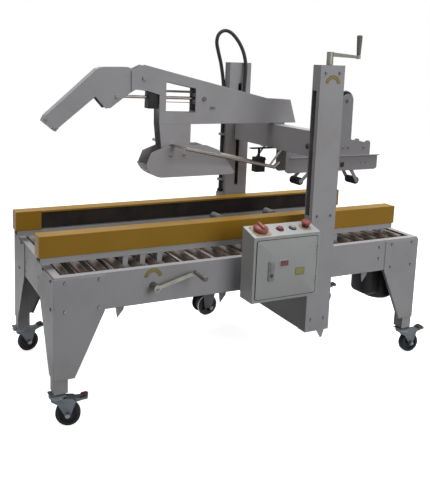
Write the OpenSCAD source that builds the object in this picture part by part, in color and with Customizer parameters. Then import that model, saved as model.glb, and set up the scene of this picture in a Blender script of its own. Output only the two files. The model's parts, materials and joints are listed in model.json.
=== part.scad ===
// Side-belt carton sealer with a flap-folding boom, as an assembly of separate pieces.
// Millimetres, +Z up. X runs along the conveyor from infeed to outfeed, Y from the
// operator's side to the back. The origin is on the floor under the middle of the machine.
// Modules are written in machine coordinates, whose zero is the front infeed corner of the
// bed frame at floor level; at_ref() moves each piece to the origin.

/* [Bed] */
// Length of the bed frame
bed_l = 1770; // [1600:10:2000]
// Width of the bed frame
bed_w = 695; // [660:5:800]
// Height of the bed's rim above the floor
bed_h = 580; // [540:5:700]
// Height of the folded side walls
apron_h = 144; // [120:2:160]
// Thickness of the folded sheet
sheet = 3; // [2:0.5:4]
// Width of the top rim turned inwards
rim_w = 30; // [24:1:40]
// Width of the bottom lip turned inwards
lip_w = 24; // [15:1:30]
// Width of the cross members under the rollers
cross_w = 40; // [30:2:50]
// Height of the cross members
cross_h = 44; // [30:2:50]

/* [Legs] */
// Width of a leg plate at the top, on the long side
leg_w = 197; // [170:1:230]
// Width of a leg plate at the top, on the short side
leg_side_w = 206; // [170:1:230]
// Width of a leg plate at the bottom, on the long side
leg_foot_w = 80; // [70:1:110]
// Width of a leg plate at the bottom, on the short side
leg_foot_side_w = 62; // [60:1:90]
// Height of the leg plate's lower edge above the floor
leg_end_z = 180; // [160:1:220]
// Width of the square foot tube inside the leg
foot_w = 54; // [48:1:56]
// Height of the foot plate's underside above the floor
foot_z = 125; // [120:1:140]

/* [Casters] */
// Diameter of a caster wheel
wheel_d = 96; // [90:1:100]
// Width of a caster wheel
wheel_w = 32; // [26:1:34]
// Distance from the swivel axis back to the wheel axle
caster_trail = 42; // [34:1:46]
// Reach of the brake pedal from the swivel axis
pedal_reach = 117; // [105:1:125]
// Diameter of the wheel axle
wheel_axle_d = 10; // [8:0.5:12]
// Distance of the swivel axis inside the leg corner, along the bed
swivel_in_x = 14; // [12:1:30]
// Distance of the swivel axis inside the leg corner, across the bed
swivel_in_y = 10; // [8:1:30]

/* [Rollers] */
// Least gap between an end wall and the first or last roller
end_gap = 27; // [20:1:36]
// Distance between roller rows
roller_pitch = 74.8; // [74:0.1:75.6]
// Diameter of a roller
roller_d = 38; // [32:1:40]
// Wall of a roller tube
roller_wall = 2; // [1.5:0.1:3]
// Diameter of a roller's fixed axle
axle_d = 10; // [8:0.5:12]
// Height of the roller tops above the rim
roller_rise = 2; // [0:0.5:6]

/* [Belt units] */
// Length of a belt unit
unit_l = 1742; // [1680:2:1800]
// Infeed end of the belt units, measured from the end of the bed
unit_x0 = -31; // [-40:1:0]
// Width of a belt unit
unit_w = 67; // [64:1:80]
// Clear gap between the two belts
rail_gap = 353; // [300:1:400]
// Underside of the unit's base above the rim
base_lift = 22; // [18:1:40]
// Height of the unit's base channel
base_h = 25; // [20:1:35]
// Height of the cover
cover_h = 84; // [80:1:100]
// Thickness of the cover sheet
cover_t = 2; // [1.5:0.1:3]
// Length of the closed ends of the cover
cover_end = 112; // [90:1:150]
// Thickness of the drive belt
belt_t = 4; // [3:0.5:5]
// Diameter of the belt pulleys
pulley_d = 50; // [44:1:52]
// Diameter of the drive shaft
drive_shaft_d = 18; // [14:1:20]
// Diameter of the drive motor
motor_d = 150; // [110:1:160]
// Lowest point of the drive motor above the floor
motor_z = 240; // [200:1:270]

/* [Width adjustment] */
// Position of the width screw from the infeed end
screw_x = 394; // [380:1:400]
// Height of the width screw and the guide rods
screw_z = 507; // [500:1:512]
// Diameter of the width screw
width_screw_d = 16; // [14:1:20]
// Diameter of the guide rods
guide_d = 20; // [16:1:24]
// Radius of the width crank
width_crank_r = 172; // [120:1:200]
// Rest angle of the width crank above horizontal
width_crank_a = 15; // [0:1:60]

/* [Masts] */
// Position of the masts' infeed side
mast_x = 1100; // [1050:1:1160]
// Width of a mast
mast_w = 125; // [110:1:150]
// Depth of a mast
mast_d = 51; // [48:1:60]
// Lower end of the masts
mast_z0 = 221; // [200:1:260]
// Upper end of the masts
mast_z1 = 1379; // [1320:1:1450]
// Lower end of the slots in the masts
slot_z0 = 738; // [720:1:780]
// Upper end of the slots in the masts
slot_z1 = 1272; // [1240:1:1290]
// Width of the slot that the head's tongue passes through
slot_w = 20; // [18:1:26]
// Height of the lower cross beam
low_beam_h = 150; // [120:1:200]
// Diameter of the two lifting screws
lift_screw_d = 20; // [16:1:24]
// Radius of the height crank
crank_r = 150; // [120:1:180]
// Length of the crank grips
grip_l = 84; // [70:1:100]

/* [Head beam] */
// Underside of the head beam
beam_z0 = 985; // [950:1:1010]
// Height of the head beam
beam_h = 111; // [90:1:130]
// Thickness of the head beam along the conveyor
beam_w = 60; // [50:1:66]
// Gap between the head beam and each mast
beam_gap = 20; // [15:1:30]

/* [Boom] */
// Width of the boom across its two side plates
boom_w = 62; // [58:1:80]
// Thickness of the boom plates
plate_t = 4; // [3:0.5:6]
// Position of the kicker's pivot along the conveyor
kick_x = 470; // [460:1:476]
// Height of the kicker's pivot
kick_z = 1303; // [1300:1:1306]
// Position of the pin that the cylinder pulls
pull_x = 350; // [346:1:354]
// Height of the pin that the cylinder pulls
pull_z = 1224; // [1221:1:1227]
// Position of the cylinder's rear pin
cyl_x = 757; // [750:1:764]
// Height of the cylinder's rear pin
cyl_z = 1215; // [1212:1:1218]
// Diameter of the pivot pins
pin_d = 10; // [8:0.5:12]
// Diameter of the piston rod
rod_d = 14; // [12:1:16]
// Diameter of the cylinder barrel
barrel_d = 40; // [36:1:42]

/* [Flap tools] */
// Width of the sled that holds the front flap down
sled_w = 100; // [90:1:130]
// Height of the sled's sole above the floor
sole_z = 874; // [850:1:900]
// Diameter of the side flap rods
flap_rod_d = 16; // [12:1:18]

/* [Tape heads] */
// Length of a tape head
head_l = 562; // [520:1:600]
// Width of a tape head across its side plates
head_w = 84; // [80:1:96]
// Height of a tape head's side plates
head_h = 76; // [70:1:90]
// Diameter of the tape rollers
tape_roller_d = 38; // [32:1:42]
// Width of the tape rollers
tape_roller_w = 66; // [56:1:68]
// Diameter of the tape core hub's flange
hub_d = 100; // [86:1:104]
// Infeed end of the lower tape head
low_head_x = 762; // [758:1:764]

/* [Control box] */
// Width of the control box
box_w = 318; // [280:1:330]
// Height of the control box at its front
box_h = 270; // [240:1:300]
// Depth of the control box
box_d = 90; // [80:1:120]
// Rise of the sloping top from front to back
box_rise = 26; // [15:1:40]
// Gap between the apron and the box's back
box_gap = 53; // [50:1:60]
// Position of the box's infeed side
box_x = 760; // [740:1:770]
// Underside of the control box
box_z = 430; // [420:1:440]

/* [Hidden] */
$fn = 48;

// Fits and clearances
run = 0.05;          // radial clearance of a running fit
clear = 0.3;         // gap between pieces that move past each other
e = 1;               // how far a cutter runs past a face

// Levels and centre lines
apron_z = bed_h - apron_h;
mid_y = bed_w / 2;
mid_mast_x = mast_x + mast_w / 2;
roller_z = bed_h + roller_rise - roller_d / 2;
// The width screw, the carriages and the drive shafts pass midway between two roller axles
row_end = end_gap + roller_d / 2;
roller_x0 = screw_x - (floor((screw_x - row_end) / roller_pitch - 0.5) + 0.5) * roller_pitch;
roller_n = floor((bed_l - row_end - roller_x0) / roller_pitch) + 1;
last_gap_x = roller_x0 + (roller_n - 1.5) * roller_pitch;
unit_end_x = unit_x0 + unit_l - pulley_d / 2 - 20;
drive_x = min(last_gap_x, screw_x + floor((unit_end_x - screw_x) / roller_pitch) * roller_pitch);
idler_x = unit_x0 + unit_w / 2 + 12;
slide_xs = [idler_x + pulley_d / 2 + 20, drive_x - pulley_d / 2 - 20];
cross_xs = [276, 735, 1250, 1495];
far_bay = round(((cross_xs[2] + cross_xs[3]) / 2 - screw_x) / roller_pitch);
carriage_xs = [for (k = [-1, 0, 1, far_bay]) screw_x + k * roller_pitch];
guide_xs = [for (k = [-1, 1, far_bay]) screw_x + k * roller_pitch];

// Roller bed: carrier rails inside the rim hold the axles
rail_y = rim_w + 8;
rail_z0 = apron_z + 16 + cross_h;
rail_top = roller_z + axle_d / 2 + 7;
roller_y0 = rail_y + sheet + 2;
split_y = mid_y - head_w / 2 - 12;
inner_rail_y = split_y - 14;

// Casters
fork_top = foot_z - 12;
xs_caster = [swivel_in_x, bed_l - foot_w + swivel_in_x];
ys_caster = [swivel_in_y, bed_w - swivel_in_y];
caster_turn = [-20, -5, 8, -12];
caster_at = [[xs_caster[0], ys_caster[0]], [xs_caster[1], ys_caster[0]],
             [xs_caster[0], ys_caster[1]], [xs_caster[1], ys_caster[1]]];

// Belt units; a unit is modelled on the operator's side and mirrored for the back
unit_y1 = mid_y - rail_gap / 2;
unit_y0 = unit_y1 - unit_w;
unit_y = unit_y1 - unit_w / 2;
base_z = bed_h + base_lift;
cover_z = base_z + base_h;
belt_r = pulley_d / 2 + belt_t;
belt_z0 = cover_z + 5;
belt_h = cover_h - 13;
drive_z0 = apron_z - 11;

// Masts and head
front_screw_y = -mast_d / 2;
rear_screw_y = bed_w + mast_d / 2;
beam_x = mid_mast_x - beam_w / 2;
beam_z1 = beam_z0 + beam_h;
tongue_t = slot_w - 6;
tongue_z = [beam_z0 + 20, beam_z1 - 16];
nut_z = [beam_z0 + 30, beam_z1 - 26];
sprocket_z = mast_z0 + 36;
sprocket_r = 17;
crank_z = mast_z1 + 45;

// Boom: outer faces of the plates, and the kicker inside them
boom_y0 = mid_y - boom_w / 2;
kicker_w = boom_w - 2 * plate_t - 2 * 1;
boom_z0 = beam_z1 + 8;

// Top head
top_x0 = beam_x + beam_w + 8;
top_x1 = top_x0 + head_l;
top_z0 = sole_z - 14;
top_z1 = top_z0 + head_h;
top_in = [top_x0 + 200, top_z0 + 30];
top_out = [top_x1 - 190, top_z0 + 30];
top_in_roller = [top_x0 + 98, top_z0 - 44];
top_out_roller = [top_x1 - 120, top_z0 - 56];
top_hub = [top_x0 + 343, top_z0 + 348];

// Lower head
low_x1 = low_head_x + 464;
low_z1 = bed_h - 4;
low_z0 = low_z1 - 110;
low_in = [low_head_x + 200, low_z1 - 26];
low_out = [low_x1 - 166, low_z1 - 26];
low_in_roller = [low_head_x + 98, low_z1 + 88];
low_out_roller = [low_x1 - 76, low_z1 + 88];
low_hub = [low_head_x + 50, low_z0 - 212];

// Control box
box_y0 = -box_gap - box_d;
box_slope = atan(box_rise / box_d);
door_inset = 14;
door_t = 3;
hinge_xy = [box_x + box_w - door_inset + 2, box_y0 - door_t - 1];
control_xs = [for (f = [0.17, 0.465, 0.66, 0.855]) box_x + f * box_w];

// Width crank
wc_y = -38;
wc_end = [screw_x + width_crank_r * cos(width_crank_a),
          screw_z + width_crank_r * sin(width_crank_a)];

// Origin under the middle of the whole machine
ref_x = (unit_x0 + xs_caster[1] + pedal_reach) / 2;
ref_y = (box_y0 - 12 + bed_w + mast_d) / 2;

// Route of the cable conduit, from the gland on the rear mast to the head beam
conduit_d = 20;
conduit_x = mast_x - 12;
conduit_y = bed_w + mast_d - 14;
clip_zs = [760, 1000, 1180];
socket = [mid_mast_x, bed_w - beam_gap - 19];
conduit_path = concat(
  [for (z = [700, 1000, 1200]) [conduit_x, conduit_y, z]],
  // the loop over the mast, as offsets from the mast's infeed corner
  [for (p = [[-20, 36, 1290], [-37, 34, 1370], [-56, 32, 1430], [-68, 30, 1475], [-64, 27, 1510],
             [-46, 24, 1532], [-20, 19, 1538], [10, 13, 1524], [42, 4, 1488], [66, -5, 1442],
             [78, -13, 1395], [81, -18, 1350], [77, -23, 1300], [70, -29, 1240], [64, -35, 1180]])
    [mast_x + p[0], bed_w + p[1], p[2]]],
  [for (z = [1140, beam_z1 + 14]) [socket[0], socket[1], z]]
);

// ---- helpers ----

module at_ref() translate([-ref_x, -ref_y, 0]) children();

// Block between two corners
module block(a, b) translate(a) cube(b - a);

// The same piece on the far side of the bed's centre line
module far_side() translate([0, 2 * mid_y, 0]) mirror([0, 1, 0]) children();

// Extrude an X-Z outline along Y, from y0 over the width w
module side_extrude(y0, w) translate([0, y0 + w, 0]) rotate([90, 0, 0]) linear_extrude(w) children();

// Cylinder along Y with its axis at [x, z]
module y_rod(p, y0, y1, r) translate([p[0], y0, p[1]]) rotate([-90, 0, 0]) cylinder(r = r, h = y1 - y0);

// Cylinder along Z
module z_rod(x, y, z0, z1, r) translate([x, y, z0]) cylinder(r = r, h = z1 - z0);

// Rectangle with round corners, from the corner at the origin
module soft_rect(w, h, r) {
  translate([r, 0]) square([w - 2 * r, h]);
  translate([0, r]) square([w, h - 2 * r]);
  for (x = [r, w - r], y = [r, h - r]) translate([x, y]) circle(r);
}

// Bar with round ends, a little wider than the bar, between two points of a plane
module link_2d(p, q, r) {
  d = q - p;
  translate(p) circle(r);
  translate(q) circle(r);
  translate(p) rotate(atan2(d[1], d[0])) translate([0, -0.88 * r]) square([norm(d), 1.76 * r]);
}

// Hollow rectangular ring in a plane: outer size, width of the band
module ring_2d(w, h, band) difference() {
  square([w, h]);
  translate([band, band]) square([w - 2 * band, h - 2 * band]);
}

// Direction along a path at point i
function path_dir(p, i) =
  let (a = p[max(i - 1, 0)], b = p[min(i + 1, len(p) - 1)]) (b - a) / norm(b - a);

// Round tube swept along a path, n sides
module sweep_tube(p, r, n) {
  rings = [for (i = [0:len(p) - 1])
    let (d = path_dir(p, i), s = cross([0, 1, 0], d) / norm(cross([0, 1, 0], d)), t = cross(d, s))
    [for (k = [0:n - 1]) p[i] + r * (cos(360 * k / n) * s + sin(360 * k / n) * t)]];
  pts = [for (g = rings, q = g) q];
  m = len(p);
  sides = [for (i = [0:m - 2], k = [0:n - 1])
    [i * n + k, i * n + (k + 1) % n, (i + 1) * n + (k + 1) % n, (i + 1) * n + k]];
  polyhedron(pts, concat(sides, [[for (k = [n - 1:-1:0]) k]], [[for (k = [0:n - 1]) (m - 1) * n + k]]));
}

// ---- bed ----

// Folded frame: side walls with the rim and the lip turned inwards, cross members, roller rails
module bed_frame() color("gainsboro") at_ref() difference() {
  union() {
    translate([0, 0, apron_z]) linear_extrude(apron_h) ring_2d(bed_l, bed_w, sheet);
    translate([0, 0, bed_h - sheet]) linear_extrude(sheet) ring_2d(bed_l, bed_w, rim_w);
    translate([0, 0, apron_z]) linear_extrude(sheet) ring_2d(bed_l, bed_w, lip_w);
    for (x = cross_xs) cross_member(x);
    for (y = [rail_y, bed_w - rail_y - sheet])
      block([lip_w, y, rail_z0 - 2], [bed_l - lip_w, y + sheet, rail_top]);
    for (y = [inner_rail_y, bed_w - inner_rail_y - sheet])
      block([cross_xs[1] + cross_w / 2 - 4, y, rail_z0 - 2], [cross_xs[2] - cross_w / 2 + 4, y + sheet, rail_top]);
    for (x = [lip_w, bed_l - lip_w - sheet], y = [rail_y, bed_w - rail_y - sheet])
      block([x == lip_w ? 1 : x, y, rail_z0], [x == lip_w ? x + sheet : bed_l - 1, y + sheet, rail_top]);
  }
  for (i = [0:roller_n - 1]) y_rod([row_x(i), roller_z], sheet + e, bed_w - sheet - e, axle_d / 2 + run);
  for (x = guide_xs) y_rod([x, screw_z], sheet, bed_w - sheet, guide_d / 2);
  y_rod([screw_x, screw_z], -e, bed_w + e, width_screw_d / 2 + run);
  for (x = [0, bed_l - sheet], y = end_bolt_ys, z = end_bolt_zs)
    translate([x - e, y, z]) rotate([0, 90, 0]) cylinder(r = end_hole_r, h = sheet + 2 * e);
}
end_bolt_ys = [mid_y - 110, mid_y + 110];
end_bolt_zs = [bed_h - 72, bed_h - 112];
end_hole_r = 4.5;

// Channel across the bed, open below, with a gusset under each end
module cross_member(x) {
  translate([x - cross_w / 2, sheet / 2, apron_z + 15])
    rotate([-90, 0, 0]) mirror([0, 1, 0]) linear_extrude(bed_w - sheet) difference() {
      square([cross_w, cross_h]);
      translate([sheet, -e]) square([cross_w - 2 * sheet, cross_h - sheet + e]);
    }
  for (y = [lip_w + 16, bed_w - lip_w - 20])
    side_extrude(y, 4) polygon([[x - 20, apron_z + 20], [x + 20, apron_z + 20], [x + 12, apron_z - 28],
                                [x - 14, apron_z - 60], [x - 20, apron_z - 20]]);
}

// One leg: two tapered plates folded at the corner, outside the bed frame
module leg() {
  top = bed_h - 7;
  side_extrude(-sheet, sheet) polygon([[-sheet, top], [leg_w, top], [leg_w, apron_z],
    [leg_foot_w, leg_end_z], [-sheet, leg_end_z]]);
  translate([-sheet, 0, 0]) rotate([90, 0, 90]) linear_extrude(sheet) polygon([[-sheet, top],
    [leg_side_w, top], [leg_side_w, apron_z], [leg_foot_side_w, leg_end_z], [-sheet, leg_end_z]]);
  // lips along the tapers stiffen the plates
  hip = [leg_w - leg_foot_w, apron_z - leg_end_z];
  side_extrude(-sheet, 16) polygon([[leg_w, apron_z - 3], [leg_foot_w, leg_end_z],
    [leg_foot_w - sheet * norm(hip) / hip[1], leg_end_z], [leg_w - sheet * norm(hip) / hip[1], apron_z - 3]]);
}

// A copy of a corner piece at each of the four corners
module four_corners() {
  children();
  translate([bed_l, 0, 0]) mirror([1, 0, 0]) children();
  translate([0, bed_w, 0]) mirror([0, 1, 0]) children();
  translate([bed_l, bed_w, 0]) mirror([1, 0, 0]) mirror([0, 1, 0]) children();
}

module legs() color("gainsboro") at_ref() four_corners() leg();

// Square foot tube with its bottom plate
module leg_foot() {
  difference() {
    block([0, 0, foot_z + 5], [foot_w, foot_w, apron_z - 20]);
    block([4, 4, foot_z + 6], [foot_w - 4, foot_w - 4, apron_z]);
  }
  block([0, 0, foot_z], [foot_w, foot_w, foot_z + 6]);
}

// Fixed half of a caster: top plate, raceway, kingpin and its washer
module caster_top() {
  block([-30, -28, foot_z - 4], [30, 28, foot_z]);
  z_rod(0, 0, fork_top + clear, foot_z - 3, 22);
  z_rod(0, 0, fork_top - 9, foot_z, 6);
  z_rod(0, 0, fork_top - 14, fork_top - 4 - clear, 9);
}

module leg_feet() color("silver") at_ref() {
  four_corners() leg_foot();
  for (c = caster_at) translate([c[0], c[1], 0]) caster_top();
}

// ---- casters ----

// Frame of one caster: origin under its swivel axis, +X along its trail
module at_caster(i) translate([caster_at[i][0], caster_at[i][1], 0]) rotate(caster_turn[i]) children();

// Swivel fork with the brake pedal's channel and tip
module caster_fork(i) color("lightsteelblue") at_ref() at_caster(i) {
  difference() {
    union() {
      z_rod(0, 0, fork_top - 4, fork_top, 25.5);
      for (s = [-1, 1]) side_extrude(s > 0 ? wheel_w / 2 + 2 : -wheel_w / 2 - 5, 3) fork_side_2d();
      block([10, -wheel_w / 2 - 4, fork_top - 4], [60, wheel_w / 2 + 4, fork_top - 1]);
    }
    z_rod(0, 0, fork_top - 5, fork_top + 1, 6 + run);
  }
  y_rod([caster_trail, wheel_d / 2], -wheel_w / 2 - 9, wheel_w / 2 + 9, wheel_axle_d / 2);
  for (s = [-1, 1]) translate([caster_trail, s * (wheel_w / 2 + 6.5), wheel_d / 2]) rotate([90, 0, 0])
    cylinder(r = 9, h = 3, center = true);
  pedal();
}

module fork_side_2d() {
  polygon([[-22, fork_top], [60, fork_top], [74, fork_top - 10], [caster_trail + 12, wheel_d / 2],
    [caster_trail - 12, wheel_d / 2], [6, fork_top - 26], [-20, fork_top - 12]]);
  translate([caster_trail, wheel_d / 2]) circle(12);
}

// Pedal channel over the wheel, ending in a rounded tread
module pedal() {
  side_extrude(-16, 3) polygon([[48, fork_top - 3], [pedal_reach - 26, fork_top + 1],
    [pedal_reach - 26, fork_top - 9], [66, fork_top - 17]]);
  side_extrude(13, 3) polygon([[48, fork_top - 3], [pedal_reach - 26, fork_top + 1],
    [pedal_reach - 26, fork_top - 9], [66, fork_top - 17]]);
  side_extrude(-16, 32) polygon([[48, fork_top - 5], [pedal_reach - 26, fork_top - 1],
    [pedal_reach - 26, fork_top + 1], [48, fork_top - 2]]);
  side_extrude(-20, 40) link_2d([pedal_reach - 27, fork_top - 2], [pedal_reach - 5, fork_top + 3], 5);
}

// Wheel with a crowned tread, a recessed web and a hub
module caster_wheel(i) color("dimgray") at_ref() at_caster(i)
  translate([caster_trail, 0, wheel_d / 2]) rotate([90, 0, 0]) rotate_extrude($fn = 96) {
    r = wheel_d / 2;
    h = wheel_w / 2;
    b = wheel_axle_d / 2 + run;
    polygon([[b, -h], [14, -h], [16, -h + 8], [r - 16, -h + 8], [r - 14, -h + 1], [r - 3, -h + 1],
      [r - 0.8, -h + 5], [r, 0], [r - 0.8, h - 5], [r - 3, h - 1], [r - 14, h - 1],
      [r - 16, h - 8], [16, h - 8], [14, h], [b, h]]);
  }

// ---- roller bed ----

// One roller tube with closed ends on a fixed axle, between y0 and y1
module roller(x, y0, y1, ends) translate([x, 0, roller_z]) rotate([-90, 0, 0]) {
  r = roller_d / 2;
  difference() {
    union() {
      translate([0, 0, y0]) cylinder(r = r, h = y1 - y0);
      translate([0, 0, y0 - ends[0]]) cylinder(r = axle_d / 2, h = y1 - y0 + ends[0] + ends[1]);
    }
    translate([0, 0, y0 + 9]) difference() {
      cylinder(r = r - roller_wall, h = y1 - y0 - 18);
      cylinder(r = axle_d / 2, h = y1 - y0 - 18);
    }
  }
}

axle_out = roller_y0 - rail_y + 3;
function row_x(i) = roller_x0 + i * roller_pitch;
function row_split(x) = x > low_head_x - roller_d / 2 - 4 && x < low_x1 + roller_d / 2 + 4;
inner_end = inner_rail_y - 3;

// Full rows at both ends, split rows beside the lower tape head
module bed_rollers() color("silver") at_ref() for (i = [1:roller_n - 2])
  if (row_split(row_x(i))) {
    roller(row_x(i), roller_y0, inner_end, [axle_out, 8]);
    far_side() roller(row_x(i), roller_y0, inner_end, [axle_out, 8]);
  } else roller(row_x(i), roller_y0, bed_w - roller_y0, [axle_out, axle_out]);

// A spinning roller turns with its stub ends in the rails
module end_roller(i) color("silver") at_ref()
  roller(row_x(i), roller_y0, bed_w - roller_y0, [axle_out, axle_out]);

// ---- masts and lower beam ----

// Hollow mast with a slot in its inner face; y grows away from the bed
module mast_shell(side_slot) difference() {
  union() {
    translate([mast_x, -mast_d, mast_z0]) linear_extrude(mast_z1 - mast_z0) ring_2d(mast_w, mast_d, sheet);
    block([mast_x, -mast_d, mast_z1 - 6], [mast_x + mast_w, 0, mast_z1]);
    block([mast_x + 1, -mast_d + 1, mast_z0], [mast_x + mast_w - 1, -1, mast_z0 + 6]);
  }
  block([mid_mast_x - slot_w / 2, -sheet - e, slot_z0], [mid_mast_x + slot_w / 2, e, slot_z1]);
  if (side_slot) block([mast_x - e, -31, slot_z0], [mast_x + sheet + e, -sheet - 1, slot_z1]);
  z_rod(mid_mast_x, -mast_d / 2, mast_z0 - e, mast_z0 + 6 + e, lift_screw_d / 2 + run);
  z_rod(mid_mast_x, -mast_d / 2, mast_z1 - 6 - e, mast_z1 + e, lift_screw_d / 2 + run);
  // the chain passes to the lower beam here
  block([mid_mast_x - sprocket_r - 8, -sheet - e, sprocket_z - 10],
        [mid_mast_x + sprocket_r + 8, e, sprocket_z + 10]);
}

module front_mast() color("gainsboro") at_ref() {
  mast_shell(true);
  side_extrude(-mast_d, sheet) polygon([[mast_x + 62, mast_z0 + 2], [mast_x + 104, mast_z0 + 2],
    [mast_x + 92, mast_z0 - 34], [mast_x + 84, mast_z0 - 34]]);
}

module rear_mast() color("gainsboro") at_ref() {
  far_side() mast_shell(false);
  // clips and gland that hold the cable conduit
  for (z = clip_zs) conduit_clip(z);
  difference() {
    block([conduit_x - 16, conduit_y - 20, 640], [mast_x + 1, conduit_y + 12, 700]);
    block([conduit_x - 12, conduit_y - 16, 636], [mast_x - 3, conduit_y + 8, 694]);
  }
}

module conduit_clip(z) difference() {
  block([conduit_x - conduit_d / 2 - 4, conduit_y - 14, z], [mast_x + 1, conduit_y + 13, z + 12]);
  z_rod(conduit_x, conduit_y, z - e, z + 12 + e, conduit_d / 2 + clear);
}

// Square tube under the bed that joins the masts and covers the chain
module lower_crossbeam() color("gainsboro") at_ref() difference() {
  block([mast_x + 3, 0, mast_z0], [mast_x + mast_w - 3, bed_w, mast_z0 + low_beam_h]);
  block([mast_x + 6, -e, mast_z0 + 3], [mast_x + mast_w - 6, bed_w + e, mast_z0 + low_beam_h - 3]);
}

// Endless chain round the sprockets of both lifting screws, lying on its bed plate
module lift_chain() color("dimgray") at_ref() {
  translate([mid_mast_x, 0, sprocket_z - 3]) linear_extrude(6) difference() {
    chain_line(sprocket_r + 4);
    chain_line(sprocket_r + clear);
  }
  // channel that the chain lies on
  difference() {
    block([mid_mast_x - 30, 30, mast_z0 + 3], [mid_mast_x + 30, bed_w - 30, sprocket_z - 3]);
    block([mid_mast_x - 27, 30 - e, mast_z0], [mid_mast_x + 27, bed_w - 30 + e, sprocket_z - 6]);
  }
}

module chain_line(r) {
  translate([0, front_screw_y]) circle(r);
  translate([0, rear_screw_y]) circle(r);
  translate([-r, front_screw_y]) square([2 * r, rear_screw_y - front_screw_y]);
}

// Lifting screw with its sprocket, in both masts
module lift_screw(y, top) {
  z_rod(mid_mast_x, y, mast_z0 - 6, top, lift_screw_d / 2);
  z_rod(mid_mast_x, y, sprocket_z - 2, sprocket_z + 2, sprocket_r);
  z_rod(mid_mast_x, y, sprocket_z - 9, sprocket_z + 9, 13.5);
  z_rod(mid_mast_x, y, mast_z1 - 12, mast_z1 - 6 - clear, 15);
}

crank_end = [mid_mast_x + crank_r, front_screw_y];

module front_lift_screw() color("silver") at_ref() {
  lift_screw(front_screw_y, crank_z + 6);
  z_rod(mid_mast_x, front_screw_y, mast_z1 + clear, crank_z + 10, 14);
  translate([0, front_screw_y - 4, 0]) side_extrude(0, 8) difference() {
    polygon([[mid_mast_x, crank_z - 9], [mid_mast_x, crank_z + 9], [crank_end[0], crank_z - 2],
      [crank_end[0], crank_z - 14]]);
  }
  z_rod(crank_end[0], crank_end[1], crank_z - 16, crank_z, 9);
  z_rod(crank_end[0], crank_end[1], crank_z - 1, crank_z + grip_l - 6, 5);
}

module rear_lift_screw() color("silver") at_ref() lift_screw(rear_screw_y, mast_z1 - 2);

// Tapered grip, wider at its free end, with a blind bore for its spindle
module grip(l) rotate_extrude() polygon([[5 + run, 0], [8, 0], [8.5, 2], [9, 8], [11.5, l * 0.8],
  [12, l - 6], [10, l - 1], [7, l], [0, l], [0, l - 4], [5 + run, l - 4]]);

module height_crank_grip() color("dimgray") at_ref()
  translate([crank_end[0], crank_end[1], crank_z + clear]) grip(grip_l);

// ---- head beam and boom ----

// Box beam between the masts, with a tongue and a nut in each mast
module head_beam() color("gainsboro") at_ref() {
  difference() {
    block([beam_x, beam_gap, beam_z0], [beam_x + beam_w, bed_w - beam_gap, beam_z1]);
    block([beam_x + sheet, beam_gap + sheet, beam_z0 + sheet],
          [beam_x + beam_w - sheet, bed_w - beam_gap - sheet, beam_z1 - sheet]);
  }
  beam_tongue();
  far_side() beam_tongue();
  // socket that takes the end of the cable conduit
  difference() {
    z_rod(socket[0], socket[1], beam_z1 - 1, beam_z1 + 24, 14);
    z_rod(socket[0], socket[1], beam_z1 + 14, beam_z1 + 25, conduit_d / 2 + clear);
  }
  // saddle under the boom
  block([beam_x, boom_y0 + plate_t, beam_z1 - 1], [beam_x + beam_w, boom_y0 + boom_w - plate_t, boom_z0 + 26]);
}

module beam_tongue() difference() {
  union() {
    block([mid_mast_x - tongue_t / 2, -sheet - 4, tongue_z[0]],
          [mid_mast_x + tongue_t / 2, beam_gap + 1, tongue_z[1]]);
    block([mid_mast_x - 46, -mast_d + sheet + 2, nut_z[0]], [mid_mast_x + 46, -sheet - 2, nut_z[1]]);
  }
  z_rod(mid_mast_x, front_screw_y, nut_z[0] - e, nut_z[1] + e, lift_screw_d / 2 + run);
}

// Outline of a boom side plate
module boom_2d() difference() {
  polygon([[411, 1331], [468, 1358], [640, 1319], [807, 1280], [1089, 1219], [1216, 1213], [1252, boom_z0],
    [543, boom_z0], [541, 1232], [486, 1248], [431, 1253], [413, 1243]]);
  polygon([[572, 1158], [572, 1288], [715, 1260], [715, 1155]]);
  translate([kick_x, kick_z]) circle(pin_d / 2 + run);
  translate([cyl_x, cyl_z]) circle(pin_d / 2 + run);
}

// Two side plates joined by a top skin, a bottom skin and an end wall
module boom_plates() color("gainsboro") at_ref() {
  side_extrude(boom_y0, plate_t) boom_2d();
  side_extrude(boom_y0 + boom_w - plate_t, plate_t) boom_2d();
  side_extrude(boom_y0 + 1, boom_w - 2) {
    polygon([[640, 1319], [1089, 1219], [1216, 1213], [1252, boom_z0 + 3], [1248, boom_z0 + 3],
      [1213, 1209], [1088, 1215], [640, 1315]]);
    polygon([[700, boom_z0], [beam_x - 2, boom_z0], [beam_x - 2, boom_z0 + 3], [700, boom_z0 + 3]]);
    polygon([[716, boom_z0], [719, boom_z0], [719, 1160], [716, 1160]]);
  }
}

// Outline of the kicker's side plates
module kicker_2d() {
  polygon([[38, 1124], [50, 1147], [163, 1247], [264, 1337], [286, 1345], [392, 1347], [kick_x, kick_z + 24],
    [kick_x + 24, kick_z], [kick_x, kick_z - 24], [404, 1236], [382, 1221], [322, 1176], [300, 1174],
    [256, 1223], [107, 1101], [90, 1081]]);
  translate([kick_x, kick_z]) circle(24);
}

kicker_y0 = mid_y - kicker_w / 2;

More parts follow.
